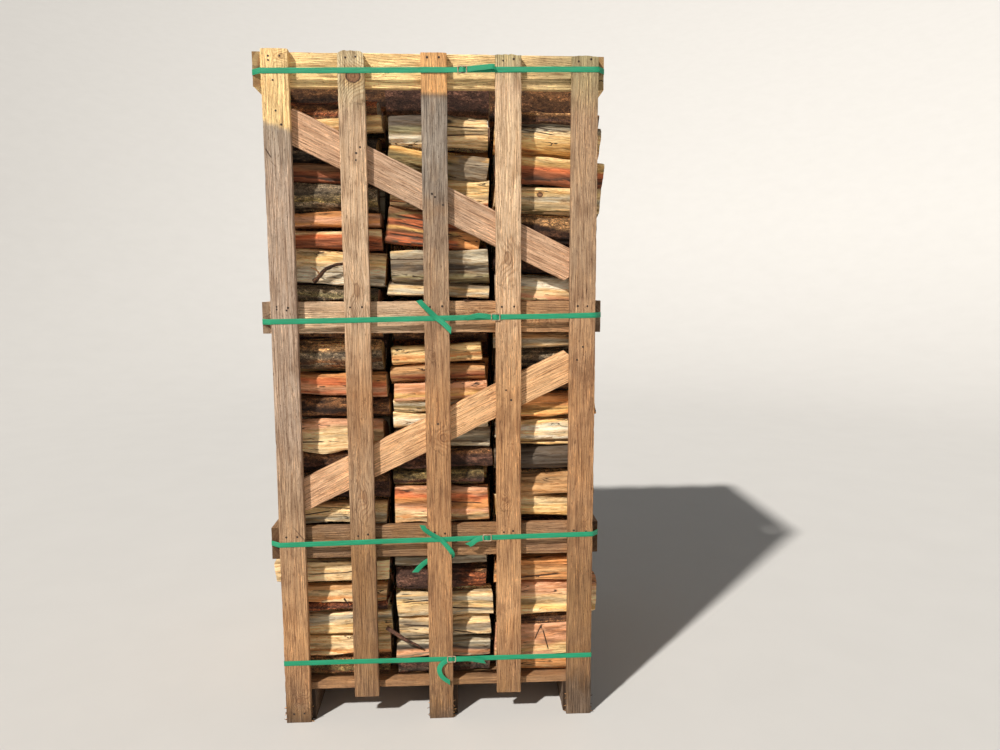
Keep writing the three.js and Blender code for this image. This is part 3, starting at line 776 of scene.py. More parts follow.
def find_marks(points, marks):
    """For each point the place in the nearest mark, in the mark's own radii, and its kind.
    A mark is [x, z, half length, half width, angle in degrees, kind]."""
    result = np.full((len(points), 3), 9.0)
    result[:, 2] = 0
    best = np.full(len(points), 1e9)
    for x, z, half_length, half_width, angle, kind in marks:
        turn = math.radians(angle)
        dx, dz = points[:, 0] - x, points[:, 2] - z
        along = (dx * math.cos(turn) + dz * math.sin(turn)) / half_length
        across = (dz * math.cos(turn) - dx * math.sin(turn)) / half_width
        far = np.hypot(along, across)
        closer = far < best
        best[closer] = far[closer]
        result[closer] = np.stack([along, across, np.full(len(points), float(kind))], -1)[closer]
    result[best > MARK_REACH] = (9.0, 9.0, 0.0)
    return result


def rounded(ring):
    for _ in range(7):
        ring = (np.roll(ring, 1, 0) + 2 * ring + np.roll(ring, -1, 0)) / 4
    return ring


def leaning(ring, half, lean):
    """Sets the top of the front back by lean, or the bottom if lean is negative."""
    upward = np.clip(ring[:, 1] / half[1], -1, 1)
    share = (1 + upward) / 2 if lean > 0 else (1 - upward) / 2
    to_front = np.clip(-ring[:, 0] / half[0], 0, 1)
    return ring + np.stack([abs(lean) * share * to_front, np.zeros(len(ring))], -1)


def twisted(rings, shares, half, x, seed):
    """Turns the front a little from end to end, and makes its upper and lower edge uneven."""
    upward = np.clip(rings[..., 1] / half[1], -1, 1)
    to_front = np.clip(-rings[..., 0] / half[0], 0, 1)
    twist = (chance(seed, 52) - 0.5) * 26 * (shares - 0.5)[:, None]
    over, under = wobble(x, 70, seed + 71)[:, None], wobble(x, 70, seed + 72)[:, None]
    edge = np.where(upward > 0, over, under) * np.abs(upward) ** 2 * to_front
    return rings + np.stack([twist * upward * to_front, 4.5 * edge], -1)


def log_rings(log, ring, half, centre):
    """Rings of points from end to end, with the log's own swell, twist and bend."""
    seed = log["seed"]
    slant = [(chance(seed, 21 + k) - 0.5) * log["slant"] for k in range(4)]
    left = log["left"] + ring @ slant[:2]
    right = log["right"] + ring @ slant[2:]
    along = left + log["shares"][:, None] * (right - left)
    swell = 1 + 0.055 * wobble(along[:, 0], 120, seed + 4)[:, None, None]
    swell[0] *= 0.985
    swell[-1] *= 0.985
    rings = ring[None] * swell
    if log["front_look"]:
        rings = twisted(rings, log["shares"], half, along.mean(1), seed)
    bend = [wobble(along[:, 0], 150, seed + 5), wobble(along[:, 0], 150, seed + 6)]
    rings = rings + 3.0 * np.stack(bend, -1)[:, None]
    return np.concatenate([along[..., None], rings + centre], -1).reshape(-1, 3)


def outward_of(ring):
    tangent = np.roll(ring, -1, 0) - np.roll(ring, 1, 0)
    outward = np.stack([tangent[:, 1], -tangent[:, 0]], -1)
    return outward / (np.linalg.norm(outward, axis=1)[:, None] + 1e-9)


def hollow_shade(lift):
    """Painted highlight where the surface stands out from what is beside it, and painted shade in its
    hollows.
    """
    beside = sum(np.roll(lift, step, 1) for step in (2, -2, 4, -4)) / 4
    hollow = np.clip((lift - beside) / 2.2, -1, 1).ravel()
    return 1 + np.where(hollow < 0, 0.50, 0.14) * hollow


def lay_log(batch, log):
    """Adds one log to a batch: its surface, and a sawn face at each end."""
    seed = log["seed"]
    front, back, bottom, top = log["front"], log["back"], log["bottom"], log["top"]
    half = ((back - front) / 2, (top - bottom) / 2)
    centre = np.array([(front + back) / 2, (top + bottom) / 2])
    ring, kinds, pith = section(log["shape"], log["turns"], half, log["around"], log["focus"])
    if log["front_look"]:
        ring = leaning(rounded(ring), half, (chance(seed, 51) - 0.4) * 24)
        toward_front = ring[:, 0] < -0.25 * half[0]
        kinds = np.where(toward_front, BARK if log["faces"] == "bark" else SPLIT, kinds)
    stations, count = len(log["shares"]), len(ring)
    outward = np.tile(outward_of(ring), (stations, 1))
    every_kind = np.tile(kinds, stations)
    flat = log_rings(log, ring, half, centre)
    rind, ridges = bark_relief(flat, seed)
    relief = np.where(every_kind == BARK, rind - 1.0, split_relief(flat, seed) - 1.0)
    for x, z, reach, rise in log["bumps"]:
        far = np.hypot(flat[:, 0] - x, flat[:, 2] - z) / reach
        relief = relief + rise * np.exp(-far ** 2) * (outward[:, 0] < 0)
    points = flat.copy()
    points[:, 1:] += outward * (relief * log["relief"])[:, None]
    colours = log_colours(flat, every_kind, log, ridges)
    # painted shade in the hollows and painted highlight on the ridges of the front logs
    if log["ends"] == "fine":
        colours = colours * hollow_shade(relief.reshape(stations, count))[:, None]
    grain = flat * MM + np.array([chance(seed, 31), chance(seed, 32), chance(seed, 33)]) * 40
    tilt(points, log, centre)
    keep_behind_rails(points)
    batch.add(points, [tube_faces(count, stations)], [np.tile(kinds, stations - 1)],
              tint=opaque(colours), grain=grain, mark=find_marks(flat, log["marks"]))
    for end in (0, -1):
        sawn_end(batch, log, points.reshape(stations, count, 3)[end], kinds, pith, centre,
                 grain.reshape(stations, count, 3)[end], end)


def tilt(points, log, centre):
    if not log["tilt"]:
        return
    turn = math.radians(log["tilt"])
    dx = points[:, 0] - (log["left"] + log["right"]) / 2
    dz = points[:, 2] - centre[1]
    points[:, 0] += dx * (math.cos(turn) - 1) - dz * math.sin(turn)
    points[:, 2] += dx * math.sin(turn) + dz * (math.cos(turn) - 1)


def keep_behind_rails(points):
    limit = RAIL_BACK + LOG_CLEARANCE
    points[:, 0] = np.clip(points[:, 0], *SIDE_LIMITS)
    points[:, 1] = np.clip(points[:, 1], limit, -limit)


# Rings drawn in from the rim of a sawn end, as shares of its size
END_LOOPS = {"fine": (1.0, 0.955, 0.915, 0.7, 0.4), "coarse": (1.0, 0.95, 0.9, 0.5), "plain": (1.0,)}


def sawn_end(batch, log, ring, kinds, pith, centre, grain, end):
    seed = log["seed"] + (50 if end else 60)
    loops = END_LOOPS[log["ends"]]
    points, grains = shrunk(ring, loops), shrunk(grain, loops)
    points[:, 0] += 0.8 * noise(points, (30, 11, 11), seed) * (1 if end else -1)
    rim = np.concatenate([(kinds == BARK) * float(share > 0.94) for share in loops] + [[0.0]])
    place = np.zeros((len(points), 3))
    place[:, 0] = chance(seed, 3) * 20
    place[:, 1:] = (points[:, 1:] - centre - pith) * MM
    colours = blend_colours(log["end_colours"], np.full(len(points), 0.5 + 0.3 * (chance(seed, 8) - 0.5)))
    colours = colours * (0.86 + 0.28 * chance(seed, 4))
    colours = colours * (1 + 0.10 * noise(points, (40, 30, 30), seed + 1))[:, None]
    faces = disc_faces(len(ring), len(loops), not end)
    batch.add(points, faces, [END] * len(faces), tint=opaque(colours), grain=grains, pith=place, rim=rim)


# Logs, laid as the solids are. Each column: its logs' ends, and the heights where its tiers
# meet, behind the rails.
TIERS = ["lower", "middle", "upper"]
COLUMNS = {
    "left": {"ends": (-492, -156), "seams": (631, 1341)},
    "middle": {"ends": (-137, 176), "seams": (631, 1349)},
    "right": {"ends": (186, 492), "seams": (646, 1343)},
}
DECK_TOP = 122.3
GAP = 0.3
PILES = 8
STACK_DEPTH = 932.8
PILE_DEPTH = STACK_DEPTH / PILES
LOG_HEIGHT = 112
HEAP_TOP = 2046
HEAP_UNEVEN = 34
RAILS = [(538, 640), (1247, 1343), (1966, 2064)]
# Heights between which the lowest strap passes
STRAP_ZONE = (188, 216)

# Logs that show at the front, listed upwards: bottom, top, left end, right end, shape,
# quarter turns, set back, tilt, what faces the front, and its colours from the bottom up
FRONT_LOGS = {
    "left": [
        (123, 189, -470, -160, "half", 0, 14, 0, "bark", "olive brown"),
        (190, 257, -468, -158, "quarter", 0, 4, 0, "split", "orange cream cream"),
        (261, 343, -480, -152, "slab", 0, 2, 1, "split", "cream paleyellow cream lightgrey cream"),
        (344, 374, -470, -160, "slab", 2, 6, 0, "bark", "purple rust"),
        (374, 428, -476, -164, "quarter", 0, 8, 0, "split", "orange cream tan"),
        (436, 516, -519, -158, "slab", 2, 0, 0, "split", "cream cream cream"),
        (524, 630, -490, -160, "half", 1, 16, 0, "bark", "brown darkbrown"),
        (633, 710, -472, -158, "slab", 0, 8, 0, "split", "cream lightgrey cream paleyellow tan"),
        (714, 799, -484, -150, "half", 0, 22, 0, "bark", "darkbrown purple brown"),
        (803, 868, -478, -162, "half", 2, 12, 0, "bark", "purple darkbrown brown"),
        (871, 974, -480, -160, "quarter", 0, 0, 0, "split", "cream cream pink"),
        (976, 1048, -486, -141, "half", 1, 2, 0, "bark", "darkbrown brown"),
        (1049, 1118, -478, -150, "quarter", 3, 0, 0, "split", "redorange pink redorange orange"),
        (1126, 1227, -474, -162, "round", 0, 0, 0, "bark", "brown grey tan"),
        (1230, 1339, -486, -160, "quarter", 1, 14, 0, "bark", "darkbrown brown"),
        (1343, 1390, -466, -170, "half", 0, 10, -3, "bark", "greengrey grey"),
        (1398, 1500, -482, -146, "slab", 0, 6, -3, "split", "lightgrey white cream paleyellow cream"),
        # The next log's dark rust is partly its own red-brown and partly painted shade for the shadow that
        # lay on it, and its pale top is a painted highlight of a lit upper edge.
        (1500, 1558, -488, -158, "slab", 2, 4, -1, "split", "rust rust redorange cream"),
        (1568, 1612, -480, -158, "quarter", 0, 0, 0, "split", "orange pink orange"),
        (1612, 1703, -476, -168, "round", 0, 2, 0, "bark", "olive grey"),
        (1704, 1757, -488, -160, "slab", 0, 16, 0, "split", "darkbrown rust brown"),
        (1760, 1846, -482, -166, "half", 1, 26, 0, "bark", "darkbrown darkgrey"),
        (1849, 1892, -470, -146, "quarter", 3, 6, 2, "split", "tan paleyellow"),
        (1882, 1945, -486, -160, "half", 0, 8, 1, "bark", "rust brown rust"),
    ],
    "middle": [
        (123, 181, -130, 168, "half", 0, 16, 0, "bark", "darkgrey purple darkbrown"),
        (182, 231, -137, 170, "slab", 0, 4, 0, "split", "grey pink darkgrey lightgrey"),
        (233, 316, -128, 168, "half", 1, 2, 1, "split", "grey lightgrey cream grey cream"),
        (317, 403, -134, 176, "slab", 0, 0, 0, "split", "lightgrey cream paleyellow lightgrey cream"),
        (405, 480, -130, 160, "half", 1, 2, 0, "bark", "purple purple"),
        (487, 521, -136, 158, "slab", 2, 10, 0, "split", "lightgrey grey lightgrey"),
        (527, 629, -128, 168, "quarter", 0, 12, 0, "split", "tan brown"),
        (633, 750, -128, 170, "quarter", 0, 0, 0, "split", "orange cream pink orange redorange pink"),
        (751, 813, -136, 150, "half", 1, 4, 0, "bark", "purple olive"),
        (815, 877, -120, 176, "half", 0, 4, 0, "bark", "darkbrown purple brown"),
        (879, 938, -134, 172, "slab", 0, 14, 0, "split", "darkgrey lightgrey grey"),
        (940, 992, -132, 166, "slab", 2, 6, 0, "split", "cream white cream"),
        (993, 1036, -130, 168, "slab", 0, 0, 0, "split", "cream olive lightgrey cream"),
        (1037, 1090, -130, 166, "quarter", 0, 0, 2, "split", "yellow pink"),
        (1088, 1144, -137, 160, "half", 1, 6, 1, "split", "rust tan"),
        (1150, 1207, -134, 150, "quarter", 3, 8, 2, "split", "orange paleyellow"),
        (1212, 1347, -126, 168, "round", 0, 22, 0, "bark", "darkbrown brown"),
        (1351, 1398, -138, 168, "slab", 0, 4, -2, "split", "cream lightgrey cream grey"),
        (1396, 1502, -130, 172, "slab", 2, 2, 0, "split", "greengrey grey darkgrey grey lightgrey"),
        (1504, 1612, -140, 150, "quarter", 0, 2, -6, "split",
         "darkgrey redorange brown yellow rust redorange olive brown"),
        (1622, 1716, -130, 172, "slab", 0, 12, 0, "split", "redorange cream paleyellow cream"),
        (1712, 1803, -134, 168, "half", 1, 0, -7, "split", "olive olive yellow"),
        (1806, 1903, -130, 170, "half", 1, 2, -1, "split", "cream greengrey darkgrey"),
    ],
    "right": [
        (123, 169, 192, 492, "slab", 0, 10, 0, "split", "tan orange"),
        (171, 284, 186, 488, "quarter", 0, 0, 1, "split", "paleyellow pink pink"),
        (286, 315, 190, 506, "half", 0, 12, 1, "bark", "darkbrown brown"),
        (318, 432, 192, 517, "slab", 0, 2, 1, "split", "yellow cream pink"),
        (436, 507, 186, 500, "quarter", 3, 0, 1, "split", "tan orange"),
        (512, 644, 196, 490, "half", 1, 14, 0, "bark", "brown"),
        (649, 711, 188, 500, "quarter", 3, 0, 0, "split", "yellow paleyellow cream"),
        (714, 796, 194, 504, "slab", 0, 0, 0, "split", "tan tan"),
        (798, 881, 186, 498, "half", 1, 0, 0, "split", "darkgrey darkgrey darkgrey"),
        (883, 906, 198, 488, "slab", 0, 14, 0, "split", "darkbrown paleyellow"),
        (907, 970, 190, 502, "quarter", 3, 4, 0, "split", "cream white paleyellow"),
        (974, 1052, 194, 506, "slab", 0, 2, 1, "split", "yellow orange"),
        (1055, 1128, 190, 498, "half", 1, 16, 0, "bark", "brown darkbrown"),
        (1131, 1191, 196, 490, "half", 0, 24, 0, "bark", "darkgrey grey"),
        (1195, 1244, 186, 486, "slab", 2, 4, 0, "split", "cream lightgrey tan"),
        (1246, 1341, 192, 490, "quarter", 0, 16, 0, "split", "brown tan"),
        (1345, 1424, 190, 488, "slab", 0, 6, -2, "split", "pink cream white lightgrey"),
        (1428, 1500, 188, 500, "half", 1, 14, -3, "bark", "darkbrown"),
        (1504, 1612, 192, 506, "half", 1, 4, -3, "bark", "darkbrown darkbrown tan"),
        (1611, 1696, 188, 512, "slab", 0, 0, -3, "split", "olive cream lightgrey paleyellow cream"),
        (1699, 1776, 194, 521, "quarter", 3, 4, -4, "split", "darkbrown rust redorange yellow paleyellow"),
        (1778, 1890, 190, 517, "half", 1, 0, -5, "split", "orange yellow paleyellow cream lightgrey grey"),
        (1876, 1915, 196, 512, "slab", 0, 6, -3, "bark", "purple brown tan"),
    ],
}
# How far the logs over the front ones reach at each end, to close the gaps between columns
COLUMN_GAPS = {"left": (-492, -146.5), "middle": (-146, 178.5), "right": (179, 492)}
SHAPES_BEHIND = ["half", "quarter", "slab", "round", "quarter", "slab"]

# Knots (kind 1) and cracks (kind -1) on the front logs, as find_marks reads them, by the
# column and the place in its list
LOG_MARKS = {
    ("right", 1): [(329, 256, 30, 2.6, 66, -1), (354, 228, 38, 2.4, -76, -1)],
    ("right", 19): [(328, 1664, 8, 7, 0, 1)],
    ("left", 11): [(-240, 1005, 60, 4.0, 28, -1), (-425, 1018, 30, 9, 24, -1)],
    ("right", 4): [(320, 450, 90, 2.6, 4, -1)],
    ("left", 5): [(-330, 476, 90, 2.2, 3, -1)],
    ("middle", 7): [(90, 700, 60, 2.2, -2, -1)],
    ("middle", 3): [(-50, 372, 70, 2.6, 2, -1), (70, 345, 90, 2.8, -3, -1)],
    ("middle", 2): [(-60, 292, 60, 2.6, -4, -1), (100, 262, 60, 3.0, -12, -1)],
    ("middle", 19): [(-40, 1585, 90, 3.4, -4, -1), (-20, 1560, 100, 2.6, -7, -1),
                     (-60, 1532, 80, 3.0, -2, -1)],
    ("middle", 18): [(-70, 1470, 80, 2.0, 0, -1), (40, 1440, 100, 2.2, 0, -1)],
    ("middle", 22): [(60, 1866, 90, 2.4, -2, -1), (100, 1842, 70, 2.2, 4, -1)],
    ("right", 21): [(330, 1864, 100, 2.6, -5, -1), (300, 1850, 80, 2.0, -6, -1)],
    ("left", 10): [(-400, 905, 60, 2.6, 1, -1)],
    ("left", 7): [(-390, 672, 60, 2.4, 8, -1), (-330, 690, 70, 2.0, -4, -1)],
}
# Knobs left by branches: x, z, reach and rise
LOG_BUMPS = {
    ("left", 11): [(-430, 1022, 24, 10), (-405, 1002, 14, -8)],
    ("left", 19): [(-330, 1668, 26, 5)],
}
# Patches of another colour: x, z, half length, half height, colour
LOG_PATCHES = {
    ("middle", 4): [(150, 442, 70, 44, "rust"), (160, 470, 50, 10, "brown")],
    ("middle", 18): [(150, 1478, 46, 40, "lightgrey"), (-120, 1500, 60, 8, "cream")],
    ("middle", 19): [(130, 1560, 60, 60, "orange")],
    ("middle", 22): [(120, 1850, 90, 50, "cream"), (-70, 1822, 110, 16, "white")],
    ("middle", 21): [(120, 1750, 70, 60, "grey")],
    ("left", 16): [(-270, 1430, 80, 30, "white")],
    ("right", 17): [(300, 1490, 60, 20, "brown")],
}

SPLIT_TINTS = ["cream", "paleyellow", "yellow", "orange", "tan", "pink", "lightgrey", "grey"]
BARK_TINTS = ["brown", "darkbrown", "purple", "grey", "olive", "rust", "darkgrey", "greengrey"]
END_TINTS = ["cream", "paleyellow", "tan", "pink", "lightgrey", "yellow"]


def pick(names, draw):
    return names[int(draw * len(names)) % len(names)]


def outer_end(limit, bottom, top, draw):
    """Where a log ends at the crate's side: shorter behind the side rails and the lowest strap."""
    if bottom < STRAP_ZONE[1] and top > STRAP_ZONE[0]:
        return limit - 12 - 12 * draw
    behind_rail = any(bottom < high + 4 and top > low - 4 for low, high in RAILS)
    return limit - 4 - 14 * draw if behind_rail else limit - 8 + 26 * draw


def tier_range(column, tier):
    edges = [DECK_TOP, *COLUMNS[column]["seams"], HEAP_TOP]
    return edges[tier] + GAP, edges[tier + 1] - GAP


def cell_heights(place, pile, tier, low, high):
    count = max(1, round((high - low) / LOG_HEIGHT))
    shares = np.array([0.72 + 0.56 * chance(place, pile, tier, cell) for cell in range(count)])
    return np.concatenate([[low], low + np.cumsum(shares) * (high - low) / shares.sum()])


def pick_two(names, seed, first):
    return [pick(names, chance(seed, first)), pick(names, chance(seed, first + 1))]


def dressed(log, seed):
    """Fills in the looks of a log that isn't listed."""
    log.update(
        seed=seed, tilt=0, marks=[], bumps=[], patches=[], faces="bark", front_look=False,
        relief=1.0, slant=0.09, colours=pick_two(BARK_TINTS, seed, 1),
        split=pick_two(SPLIT_TINTS, seed, 3), rind=[pick(BARK_TINTS, chance(seed, 1))],
        end_colours=pick_two(END_TINTS, seed, 6),
    )
    return log


# Above this height the second pile can be seen over the front logs
SEEN_ABOVE_FRONT = 1840
# Colours of painted shade: dark tints that stand in for the shadow under the top rail
IN_SHADE = ["darkbrown", "purple", "soot", "brown"]


def over_front(log):
    return log["pile"] == 1 and log["bottom"] > SEEN_ABOVE_FRONT


def shaded(log):
    """A log of the second pile that shows over the front ones, bark forward, coloured dark as painted
    shade for the shadow under the top rail.
    """
    log.update(front_look=True, faces="bark", colours=pick_two(IN_SHADE, log["seed"], 1))
    return log


def detail_of(column, log):
    """How finely a hidden log is built: by which of its sides can be seen."""
    around, stations, focus, ends = 25, 6, None, "coarse"
    if log["pile"] == PILES - 1:
        around, stations, focus = 30, 20, (0.8, 0.0)
    elif log["highest"]:
        around, stations, focus = 34, 24, (0.0, 0.8)
    elif over_front(log):
        around, stations, focus = 34, 24, (-0.8, 0.0)
    elif column == "middle":
        around, stations, ends = 10, 4, "plain"
    even = log["pile"] == PILES - 1 or log["highest"] or log["bottom"] > SEEN_ABOVE_FRONT
    return {"around": around, "focus": focus, "ends": ends,
            "shares": spread_stations(stations, column, even)}


def spread_stations(count, column, even):
    """Shares of the length, close together near the outer end if only that end shows."""
    shares = np.linspace(0, 1, count)
    if even:
        return shares
    shares = shares ** 2.2
    return 1 - shares[::-1] if column == "right" else shares


def hidden_cells(column, tier):
    """The logs of the piles behind the front one, each with its number."""
    place = list(COLUMNS).index(column)
    ends = COLUMNS[column]["ends"]
    low, high = tier_range(column, tier)
    for pile in range(1, PILES):
        crest = high - HEAP_UNEVEN * chance(place, pile, 9) if tier == 2 else high
        heights = cell_heights(place, pile, tier, low, crest)
        front = -STACK_DEPTH / 2 + PILE_DEPTH * pile
        for cell in range(len(heights) - 1):
            bottom, top = heights[cell], heights[cell + 1]
            draw = [chance(place, pile, tier, cell, k) for k in range(8)]
            log = {
                "bottom": bottom, "top": top, "pile": pile,
                "highest": tier == 2 and cell == len(heights) - 2,
                "front": front + 8 * (draw[1] - 0.5), "back": front + PILE_DEPTH - 6 * draw[2],
                "left": ends[0] + 14 * draw[3], "right": ends[1] - 14 * draw[4],
                "shape": pick(SHAPES_BEHIND, draw[6]), "turns": int(draw[7] * 4),
            }
            if column == "left":
                log["left"] = -outer_end(-ends[0], bottom, top, draw[5])
            if column == "right":
                log["right"] = outer_end(ends[1], bottom, top, draw[5])
            yield log, 1000 * place + 100 * pile + 20 * tier + cell


# How many of the cells at the sides hold two wedges, and where each group's seeds start
WEDGE_SHARE = 0.38
HIDDEN_SEED, SECOND_WEDGE_SEED, FRONT_SEED = 5000, 9000, 20000


def wedges(log, number):
    """Two wedges that lie against each other, one a little shorter."""
    log.update(shape="wedge", around=max(18, log["around"] - 6))
    yield dressed(dict(log), number + HIDDEN_SEED)
    log.update(turns=(log["turns"] + 2) % 4, left=log["left"] + 6, right=log["right"] - 6)
    yield dressed(log, number + SECOND_WEDGE_SEED)


def hidden_logs(column, tier):
    for log, number in hidden_cells(column, tier):
        log.update(detail_of(column, log))
        if over_front(log):
            left, right = COLUMN_GAPS[column]
            log["left"] = log["left"] if column == "left" else left
            log["right"] = log["right"] if column == "right" else right
            yield shaded(dressed(log, number + HIDDEN_SEED))
        elif column != "middle" and not log["highest"] and chance(number, 41) < WEDGE_SHARE:
            yield from wedges(log, number)
        else:
            yield dressed(log, number + HIDDEN_SEED)


# Points round a front log, and rings along it
FRONT_AROUND, FRONT_STATIONS = 64, 46


def front_logs(column, tier):
    low, high = tier_range(column, tier)
    for number, entry in enumerate(FRONT_LOGS[column]):
        bottom, top, left, right, shape, turns, set_back, slope, faces, colours = entry
        if not low < (bottom + top) / 2 < high:
            continue
        seed = FRONT_SEED + 1000 * list(COLUMNS).index(column) + 20 * number
        front = -STACK_DEPTH / 2 + set_back
        yield {
            "bottom": bottom, "top": top, "left": left, "right": right, "shape": shape,
            "turns": turns, "tilt": slope, "front": front, "back": front + PILE_DEPTH - 4,
            "seed": seed, "faces": faces, "colours": colours.split(), "split": ["cream", "tan"],
            "rind": ["brown", "darkbrown"], "end_colours": [pick(END_TINTS, chance(seed, 6))],
            "front_look": True, "relief": 1.15 * min(1.0, (top - bottom) / 70), "slant": 0.16,
            "around": FRONT_AROUND, "shares": np.linspace(0, 1, FRONT_STATIONS),
            "focus": (-0.8, 0.0), "ends": "fine",
            "marks": LOG_MARKS.get((column, number), []),
            "bumps": LOG_BUMPS.get((column, number), []),
            "patches": LOG_PATCHES.get((column, number), []),
        }


def stack_of_logs(column, tier):
    batch = Batch()
    for log in [*front_logs(column, tier), *hidden_logs(column, tier)]:
        lay_log(batch, log)
    name = f"{column}_{TIERS[tier]}"
    make_piece(f"split_logs_{name}", batch, LOG_MATERIALS, "split_logs", f"logs_{name}")


for column_name in COLUMNS:
    for tier_number in range(3):
        stack_of_logs(column_name, tier_number)


# Boards
BOARD_ROUNDING = 1.1
BOARD_END_LOOPS = (1.0, 0.8, 0.4)
BOARD_END_TONE = 0.52


def board_ring(width, thick, across):
    """Section of a board, counter-clockwise, with small round edges."""
    w, t, r = width / 2, thick / 2, BOARD_ROUNDING
    wide = np.linspace(-w + r, w - r, across)
    deep = np.linspace(-t + r, t - r, 4)
    points = [(b, -t) for b in wide] + [(w - 0.3 * r, -t + 0.3 * r)]
    points += [(w, c) for c in deep] + [(w - 0.3 * r, t - 0.3 * r)]
    points += [(b, t) for b in wide[::-1]] + [(-w + 0.3 * r, t - 0.3 * r)]
    points += [(-w, c) for c in deep[::-1]] + [(-w + 0.3 * r, -t + 0.3 * r)]
    return np.array(points)


def worn(base, shares, length, width, seed, wear, broken):
    """An even board's points, made rough: nicked edges, fuzz, ragged ends and a broken top."""
    along = shares * length
    stations = len(shares)
    place, b, c = base[..., 0], base[..., 1], base[..., 2]
    right, left = wobble(along, 160, seed), wobble(along, 160, seed + 1)
    nicks = [np.clip(wobble(along, 16, seed + 2 + k) - 0.45, 0, 1) * 2.6 for k in (0, 1)]
    at_edge = np.clip((np.abs(b) - (width / 2 - 3)) / 3, 0, 1)
    shift = np.where(b > 0, (0.7 * right - nicks[0])[:, None], (0.7 * left + nicks[1])[:, None])
    b = b + wear * shift * at_edge
    c = c + wear * 0.25 * noise(base, (60, 12, 12), seed + 5) * np.sign(c)
    ragged = np.clip(1 - np.minimum(shares, 1 - shares) * stations, 0, 1)[:, None]
    place = place + wear * ragged * 0.9 * noise(base, (9, 9, 9), seed + 6)
    gaps = np.clip(0.3 + noise(np.repeat(base[-1:], stations, 0), (40, 11, 11), seed + 10), 0, 1)
    at_top = np.clip(1 - (1 - shares) * stations, 0, 1)[:, None]
    return place - broken * at_top * gaps, b, c


def board_tint(base, place, looks, seed, lean, mottle):
    """Colours along a board, with borders that lean across it and are uneven by mottle."""
    spots, names, weathering = zip(*looks)
    along = place + lean * base[..., 1] + mottle * noise(base, (60, 25, 25), seed + 7)
    table = np.array([linear(name) for name in names])
    colours = np.stack([np.interp(along, spots, table[:, k]) for k in range(3)], -1)
    colours = colours * (1 + 0.12 * noise(base, (110, 40, 40), seed + 8))[..., None]
    weather = np.interp(along, spots, weathering)
    return np.concatenate([colours, weather[..., None]], -1)


def board(batch, start, end, width, thick, side, seed, looks, marks=(), step=12, across=9,
          wear=1.0, corner=0.0, lean=0.0, mottle=8.0, bevel=0.0, broken=0.0):
    """A sawn board from start to end. side is the direction of its width, and its third
    direction, run x side, points away from the face that shows. looks lists (place, colour,
    weathering) along it. corner cuts its top corners and bevel slants its ends."""
    start, end = np.asarray(start, float), np.asarray(end, float)
    run = end - start
    length = np.linalg.norm(run)
    run = run / length
    side = np.asarray(side, float)
    out = np.cross(run, side)
    ring = board_ring(width, thick, across)
    stations = max(6, int(length / step))
    shares = np.linspace(0, 1, stations)
    near_top = np.clip(np.abs(ring[:, 0]) - (width / 2 - corner), 0, None) * 0.7
    low = bevel * ring[:, 0]
    high = length - near_top + bevel * ring[:, 0]
    place = low[None] + shares[:, None] * (high - low)[None]
    base = np.concatenate([place[..., None], np.repeat(ring[None], stations, 0)], -1)
    place, b, c = worn(base, shares, length, width, seed, wear, broken)
    points = start + place[..., None] * run + b[..., None] * side + c[..., None] * out
    tint = board_tint(base, place, looks, seed, lean, mottle)
    shift = np.array([chance(seed, 61) * 30, (chance(seed, 62) - 0.5) * 60 * MM, 0])
    local = np.stack([base[..., 0], np.zeros_like(place), base[..., 1]], -1).reshape(-1, 3)
    batch.add(points.reshape(-1, 3), [tube_faces(len(ring), stations)[:, ::-1]], [0],
              tint=tint, grain=base * MM + shift, mark=find_marks(local, marks))
    for last in (0, -1):
        board_end(batch, points[last], base[last], seed + 9 + last, tint[last], last)


def board_end(batch, ring, base, seed, tint, end):
    """A board's sawn end: darker than its faces."""
    points = shrunk(ring, BOARD_END_LOOPS)
    flat = np.concatenate([base[:, 1:] * share for share in (*BOARD_END_LOOPS, 0.0)])[:len(points)]
    pith = np.zeros((len(points), 3))
    pith[:, 0] = chance(seed, 2) * 9
    pith[:, 1:] = (flat - ((chance(seed, 3) - 0.5) * 60, -45)) * MM
    colours = np.concatenate([tint] * len(BOARD_END_LOOPS) + [tint.mean(0)[None]])
    colours[:, :3] *= BOARD_END_TONE
    grain = np.concatenate([np.full((len(flat), 1), chance(seed, 5) * 5), flat * MM], 1)
    faces = disc_faces(len(ring), len(BOARD_END_LOOPS), end == -1)
    batch.add(points, faces, [1] * len(faces), tint=colours, grain=grain, pith=pith)


BOARD_MATERIALS = [MATERIALS["board"], MATERIALS["end"]]

